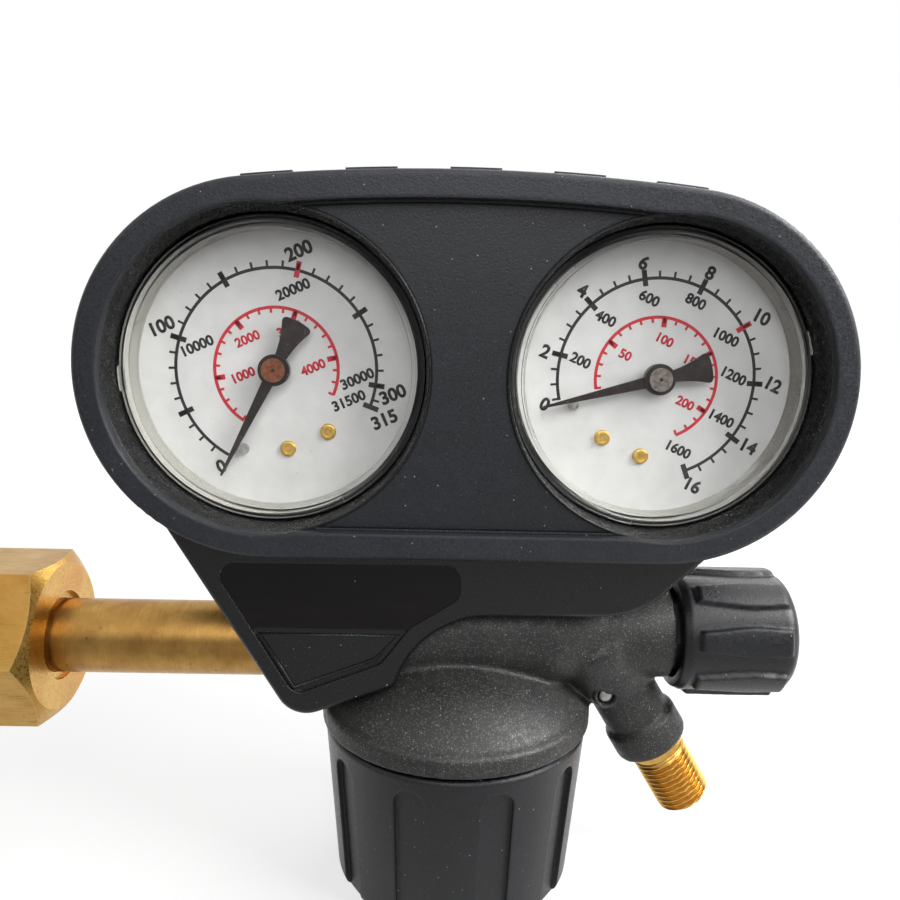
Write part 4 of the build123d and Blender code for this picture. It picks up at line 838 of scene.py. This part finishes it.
def print_dial(side):
    """Black and red scales of one dial, with plain numbers only."""
    dial = DIALS[side]
    scale = dial["scale"]
    red_scale = dial["red_scale"]
    black = bmesh.new()
    red = bmesh.new()
    arc_band(black, side, SCALE_R, *dial["arc"])
    ticks(black, side, dial["minor"], scale, SCALE_R, MINOR_REACH, MINOR_TICK)
    ticks(black, side, dial["major"], scale, SCALE_R, MAJOR_REACH, MAJOR_TICK)
    ticks(red, side, dial["limit"], scale, SCALE_R, MAJOR_REACH, MAJOR_TICK)
    arc_band(red, side, RED_SCALE_R, *dial["red_arc"])
    ticks(red, side, dial["red_minor"], red_scale, RED_SCALE_R, RED_MINOR_REACH, MINOR_TICK)
    ticks(red, side, dial["red_major"], red_scale, RED_SCALE_R, RED_MAJOR_REACH, MAJOR_TICK)
    for shape, numbers, height in ((black, "outer", OUTER_DIGITS), (black, "inner", INNER_DIGITS),
                                   (red, "red", RED_DIGITS)):
        for text, angle, radius in dial[numbers]:
            numeral(shape, side, text, height, angle, radius)
    print_piece(f"{side}_black_print", black, BLACK_INK)
    print_piece(f"{side}_red_print", red, RED_INK)


def cap_shade_discs():
    """Small dark disc on the cap of each pointer, painted shade in place of the dimple at its
    middle.
    """
    for side in DIALS:
        low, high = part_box(f"{side}_pointer_spindle")
        # Painted shade: a dark disc where the cap's dimple would lie in shade.
        place = along_axis(((low.x + high.x) / 2, low.y, (low.z + high.z) / 2), (0, -1, 0))
        turned_piece(f"{side}_cap_shade_disc", place, in_millimetres(CAP_SHADE_DISC), CAP_COLUMNS,
                     LOOKS["pointer_black"], f"{side}_hand")


# Threads


def thread_rise(along, angle, pitch):
    """0 in a thread's groove and 1 on its crest, for a right-hand thread."""
    phase = (along / pitch - angle / (2 * pi)) % 1
    slope = 1 - abs(2 * phase - 1)
    return min(1.0, max(0.0, (slope - THREAD_ROOT) / THREAD_FLANK))


def threaded_nipple():
    """Hose nipple with a cut thread, chamfered end, conical seat and bore."""
    outlet = mount("outlet")
    axis = Vector(outlet["axis"])
    crest = outlet["dims"]["r_mm"] * MM
    length = outlet["dims"]["length_mm"] * MM
    end = length + NIPPLE_CHAMFER
    inner_end = -NECK - SPIGOT
    place = along_axis(Vector(outlet["pos_m"]) - axis * length / 2, axis)
    stations = [(inner_end, NIPPLE_BORE_R), (inner_end, SPIGOT_R), (-NECK, SPIGOT_R),
                (-NECK, NECK_R), (-NECK_STOP, NECK_R)]
    steps = ceil(end / OUTLET_PITCH * THREAD_STEPS)
    for number in range(steps + 1):
        along = end * number / steps
        limit = min(crest, crest - (along - length), NECK_R + along)
        depth = OUTLET_DEPTH * eased(along / THREAD_LEAD)

        def radius(angle, along=along, limit=limit, depth=depth):
            return min(limit, crest - depth * (1 - thread_rise(along, angle, OUTLET_PITCH)))

        stations.append((along, radius))
    stations += [(end, SEAT_R), (end - SEAT_DEPTH, NIPPLE_BORE_R), (inner_end, NIPPLE_BORE_R)]
    piece = turned_piece("threaded_nipple", place, stations, THREAD_COLUMNS,
                         NODE_LOOKS["outlet_nipple"], "body")
    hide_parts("outlet_nipple")


def threaded_nut():
    """The union nut with a cut thread in its mouth in place of the plain bore."""
    inlet = mount("inlet")
    crest = inlet["dims"]["r_mm"] * MM
    length = inlet["dims"]["length_mm"] * MM
    shape = bmesh.new()
    shape.from_mesh(NODES["inlet_nut"].data)
    bore = []
    for face in shape.faces:
        inside = all(abs(Vector((v.co.y, v.co.z)).length - crest) < BORE_NEAR for v in face.verts)
        if inside and all(v.co.x < length + BORE_END_NEAR for v in face.verts):
            bore.append(face)
    bmesh.ops.delete(shape, geom=bore, context="FACES")
    steps = ceil(length / INLET_PITCH * THREAD_STEPS)
    stations = [(0.0, crest)]
    for number in range(1, steps):
        along = length * number / steps
        limit = min(crest + INLET_DEPTH, crest + THREAD_RUNOUT * along,
                    crest + THREAD_RUNOUT * (length - along))

        def radius(angle, along=along, limit=limit):
            groove = 1 - thread_rise(along, angle, INLET_PITCH)
            return min(limit, crest + INLET_DEPTH * groove)

        stations.append((along, radius))
    stations.append((length, crest))
    rows = lathe(shape, along_axis((0, 0, 0), (1, 0, 0)), stations, THREAD_COLUMNS)
    sleeve = {f for row in rows for v in row for f in v.link_faces}
    for face in sleeve:
        middle = face.calc_center_median()
        if face.normal.dot(Vector((0, middle.y, middle.z))) > 0:
            face.normal_flip()
    shape.normal_update()
    piece = smooth_piece("threaded_nut", shape, NODE_LOOKS["inlet_nut"], "nut")
    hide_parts("inlet_nut")


# Side knob


def profile_radius(profile, along):
    """Radius of a turned outline at a distance along it."""
    for (start, low), (end, high) in zip(profile, profile[1:]):
        if along <= end:
            return low + (high - low) * (along - start) / (end - start)
    return profile[-1][1]


def lug_rise(along, angle, radius):
    """0 off a grip lug and 1 on its crown. A lug is widest past its middle."""
    start, end = LUG_SPAN
    share = min(1.0, max(0.0, (along - start) / (end - start)))
    near, wide, far = LUG_HALF
    half = near + (wide - near) * eased(share / LUG_WIDEST)
    half -= (wide - far) * eased((share - LUG_WIDEST) / (1 - LUG_WIDEST))
    pitch = 2 * pi / KNOB_LUGS
    turn = (angle - radians(LUG_TURN) + pitch / 2) % pitch - pitch / 2
    across = eased((half + LUG_FLANK_OUT - abs(turn) * radius) / LUG_FLANK)
    return across * eased((along - start) / LUG_ENDS[0]) * eased((end - along) / LUG_ENDS[1])


def ribbed_knob():
    """Side knob with eight soft barrel-shaped grip lugs."""
    low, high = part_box("outlet_knob")
    place = Matrix(((0, 0, 1), (-1, 0, 0), (0, -1, 0))).to_4x4()
    place.translation = (low.x, (low.y + high.y) / 2, (low.z + high.z) / 2)
    length = KNOB_PROFILE[-1][0]
    steps = round(length / KNOB_STEP)
    spots = sorted({along for along, _ in KNOB_PROFILE}
                   | {length * number / steps for number in range(steps + 1)})
    stations = [(0.0, KNOB_INSIDE[-1][1] * MM)]
    for along in spots:
        base = profile_radius(KNOB_PROFILE, along)

        def radius(angle, along=along, base=base):
            return (base + (LUG_CROWN - base) * lug_rise(along, angle, base)) * MM

        stations.append((along * MM, radius))
    stations += in_millimetres(KNOB_INSIDE)
    piece = turned_piece("ribbed_knob", place, stations, KNOB_COLUMNS, KNOB, "shutoff")
    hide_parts("outlet_knob")


# Casting, plug, border, springs and diaphragm


def fillet_share(point, middle, plug, axis, collar):
    """How much the fillet's smoothing takes hold of a point, from 0 to 1."""
    share = FILLET_PEAK - FILLET_PEAK * (point - middle).length / (FILLET_REACH * MM)
    share = min(share, (point - plug).length / PLUG_CLEAR - 1,
                (collar - axis.dot(point)) / COLLAR_CLEAR)
    return min(1.0, max(0.0, share))


def cast_body():
    """The casting with the soft edges that a poured part has, softest where the elbow
    leaves the arm."""
    piece = added("cast_body", NODES["body_casting"].data.copy())
    skin = piece.modifiers.new("skin", "REMESH")
    skin.mode = "VOXEL"
    skin.voxel_size = CASTING_VOXEL
    skin.use_smooth_shade = True
    piece.data = worked_out(piece)
    piece.modifiers.clear()
    group = piece.vertex_groups.new(name="fillet")
    middle = Vector(FILLET_AT) * MM
    low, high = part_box("port_plug")
    plug = (low + high) / 2
    outlet = mount("outlet")
    axis = Vector(outlet["axis"])
    collar = axis.dot(Vector(outlet["pos_m"])) - COLLAR_BACK
    for vertex in piece.data.vertices:
        share = fillet_share(vertex.co, middle, plug, axis, collar)
        if share > 0:
            group.add([vertex.index], share, "REPLACE")
    for name, rounds, kept in (("melt", CASTING_ROUNDS, ""), ("fillet", FILLET_ROUNDS, "fillet")):
        melt = piece.modifiers.new(name, "SMOOTH")
        melt.factor = MELT_STRENGTH
        melt.iterations = rounds
        melt.vertex_group = kept
    if not piece.data.materials:
        piece.data.materials.append(LOOKS["casting_paint"])
    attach(piece, "body")
    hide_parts("body_casting")


def pressed_plug():
    """Plug with a domed face, and the lip of the casting round it."""
    low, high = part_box("port_plug")
    front = Vector(((low.x + high.x) / 2, low.y - PLUG_DEPTH, (low.z + high.z) / 2))
    place = along_axis(front, (0, -1, 0))
    turned_piece("plug_ring", place, in_millimetres(PLUG_LIP), PLUG_COLUMNS,
                 LOOKS["casting_paint"], "body")
    face = turned_piece("plug_face", place, in_millimetres(PLUG_FACE), PLUG_COLUMNS,
                        LOOKS["steel"], "body")
    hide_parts("port_plug")


def panel_border():
    """Thin raised line round the bare panel under the label plate."""
    plate_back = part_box("label_plate")[1].y
    curve = bpy.data.curves.new("panel_border", "CURVE")
    curve.dimensions = "3D"
    curve.bevel_depth = BORDER_R
    curve.bevel_resolution = 2
    line = curve.splines.new("POLY")
    line.points.add(len(BORDER_POINTS) - 1)
    for point, (x, z) in zip(line.points, BORDER_POINTS):
        point.co = ((x + ORIGIN_X) * MM, plate_back - BORDER_R / 3, z * MM, 1.0)
    line.use_cyclic_u = True
    curve.materials.append(LOOKS["black_plastic"])
    border = added("panel_border", curve)
    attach(border, "body")


def flexing_pieces():
    """Springs and diaphragm as pieces of their own on their bodies, copied from their nodes, which
    are hidden.
    """
    for node, body, joint, held in FLEXING:
        piece = added(f"{node}_flexing", NODES[node].data.copy())
        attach(piece, body)
        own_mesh(piece)
        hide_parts(node)


# Camera, floor, lamps and background


def place_camera():
    """The camera at the photograph's viewing angle."""
    data = bpy.data.cameras.new("camera")
    data.lens = CAMERA_LENS
    data.sensor_width = CAMERA_SENSOR
    data.clip_start = CAMERA_NEAR
    camera = added("camera", data)
    turn = (Matrix.Rotation(radians(-CAMERA_HEADING), 4, "Z")
            @ Matrix.Rotation(radians(90 + CAMERA_PITCH), 4, "X")
            @ Matrix.Rotation(radians(CAMERA_ROLL), 4, "Z"))
    camera.matrix_world = Matrix.Translation(CAMERA_AT) @ turn
    bpy.context.scene.camera = camera


def light_scene():
    """Soft square lamps that all look at one point."""
    for name, (at, size, power) in LAMPS.items():
        data = bpy.data.lights.new(name, "AREA")
        data.size = size
        data.energy = power
        direction = Vector(LAMP_AIM) - Vector(at)
        turn = direction.to_track_quat("-Z", "Y").to_matrix().to_4x4()
        added(name, data).matrix_world = Matrix.Translation(at) @ turn


def seen_rays(kit):
    """Two shares: 1 for what shows straight or through glass, and 1 for what gloss mirrors.
    Both are 0 once a ray has left a matt surface, so that neither lights the object."""
    path = kit.nodes.new("ShaderNodeLightPath")
    first = kit.math("LESS_THAN", path.outputs["Diffuse Depth"], 0.5)
    plain = kit.math("MULTIPLY", first, kit.math("LESS_THAN", path.outputs["Glossy Depth"], 0.5))
    shown = kit.math("MAXIMUM", path.outputs["Is Camera Ray"], path.outputs["Is Transmission Ray"])
    mirrored = kit.math("MAXIMUM", path.outputs["Is Glossy Ray"],
                        kit.math("SUBTRACT", first, plain))
    return kit.math("MULTIPLY", shown, plain), kit.math("MULTIPLY", mirrored, first)


def set_world():
    """White where it shows. Gloss sees it white above and behind, and dim in front."""
    world = bpy.data.worlds.new("studio")
    bpy.context.scene.world = world
    world.use_nodes = True
    kit = NodeKit(world.node_tree)
    kit.nodes.clear()
    shown, mirrored = seen_rays(kit)
    direction = kit.nodes.new("ShaderNodeTexCoord").outputs["Generated"]
    above = kit.span(kit.part(direction, 2), 0.1, 0.6)
    behind = kit.span(kit.part(direction, 1), -0.5, 0.3)
    gloss = kit.span(kit.math("MAXIMUM", above, behind), 0.0, 1.0, DIM_SKY, WHITE_SKY)
    extra = kit.math("MULTIPLY", mirrored, kit.math("SUBTRACT", gloss, SOFT_SKY))
    extra = kit.math("ADD", extra, kit.math("MULTIPLY", shown, WHITE_SKY - SOFT_SKY))
    sky = kit.plain_shader("ShaderNodeBackground", WHITE)
    kit.feed(sky.inputs["Strength"], kit.math("ADD", extra, SOFT_SKY))
    output = kit.nodes.new("ShaderNodeOutputWorld")
    kit.links.new(sky.outputs[0], output.inputs["Surface"])


def floor_material():
    """Pale matt floor that shows as white, yet keeps the object's shadow."""
    look = Look("floor", rgb(150, 150, 150), 0.8)
    tone = look.mix(look.noise(0.09, 3), rgb(148, 148, 148), rgb(154, 154, 154))
    look.give("Base Color", tone)
    glow = look.plain_shader("ShaderNodeEmission", WHITE)
    away = look.vector_math("LENGTH", "Value", look.place)
    lift = look.span(away, *FLOOR_FADE, *FLOOR_GLOW)
    sheen = look.span(look.part(look.place, 1), *SHEEN_FADE, *FLOOR_SHEEN)
    shown, mirrored = seen_rays(look)
    strength = look.math("ADD", look.math("MULTIPLY", shown, lift),
                         look.math("MULTIPLY", mirrored, sheen))
    look.feed(glow.inputs["Strength"], strength)
    total = look.nodes.new("ShaderNodeAddShader")
    look.links.new(look.shader.outputs[0], total.inputs[0])
    look.links.new(glow.outputs[0], total.inputs[1])
    look.show(total)
    return look.material


def lay_floor():
    """A plain floor just below the object."""
    shape = bmesh.new()
    ground = CAD_BOX[0].z - FLOOR_DROP
    corners = [shape.verts.new((x * FLOOR_HALF, y * FLOOR_HALF, ground))
               for x, y in ((-1, -1), (1, -1), (1, 1), (-1, 1))]
    shape.faces.new(corners)
    mesh_object("floor", shape, floor_material())


place_camera()
set_looks()
for dial_side in DIALS:
    print_dial(dial_side)
threaded_nipple()
threaded_nut()
ribbed_knob()
cast_body()
flexing_pieces()
pressed_plug()
cap_shade_discs()
panel_border()
lay_floor()
set_world()
light_scene()
bpy.context.scene.view_settings.view_transform = "Standard"
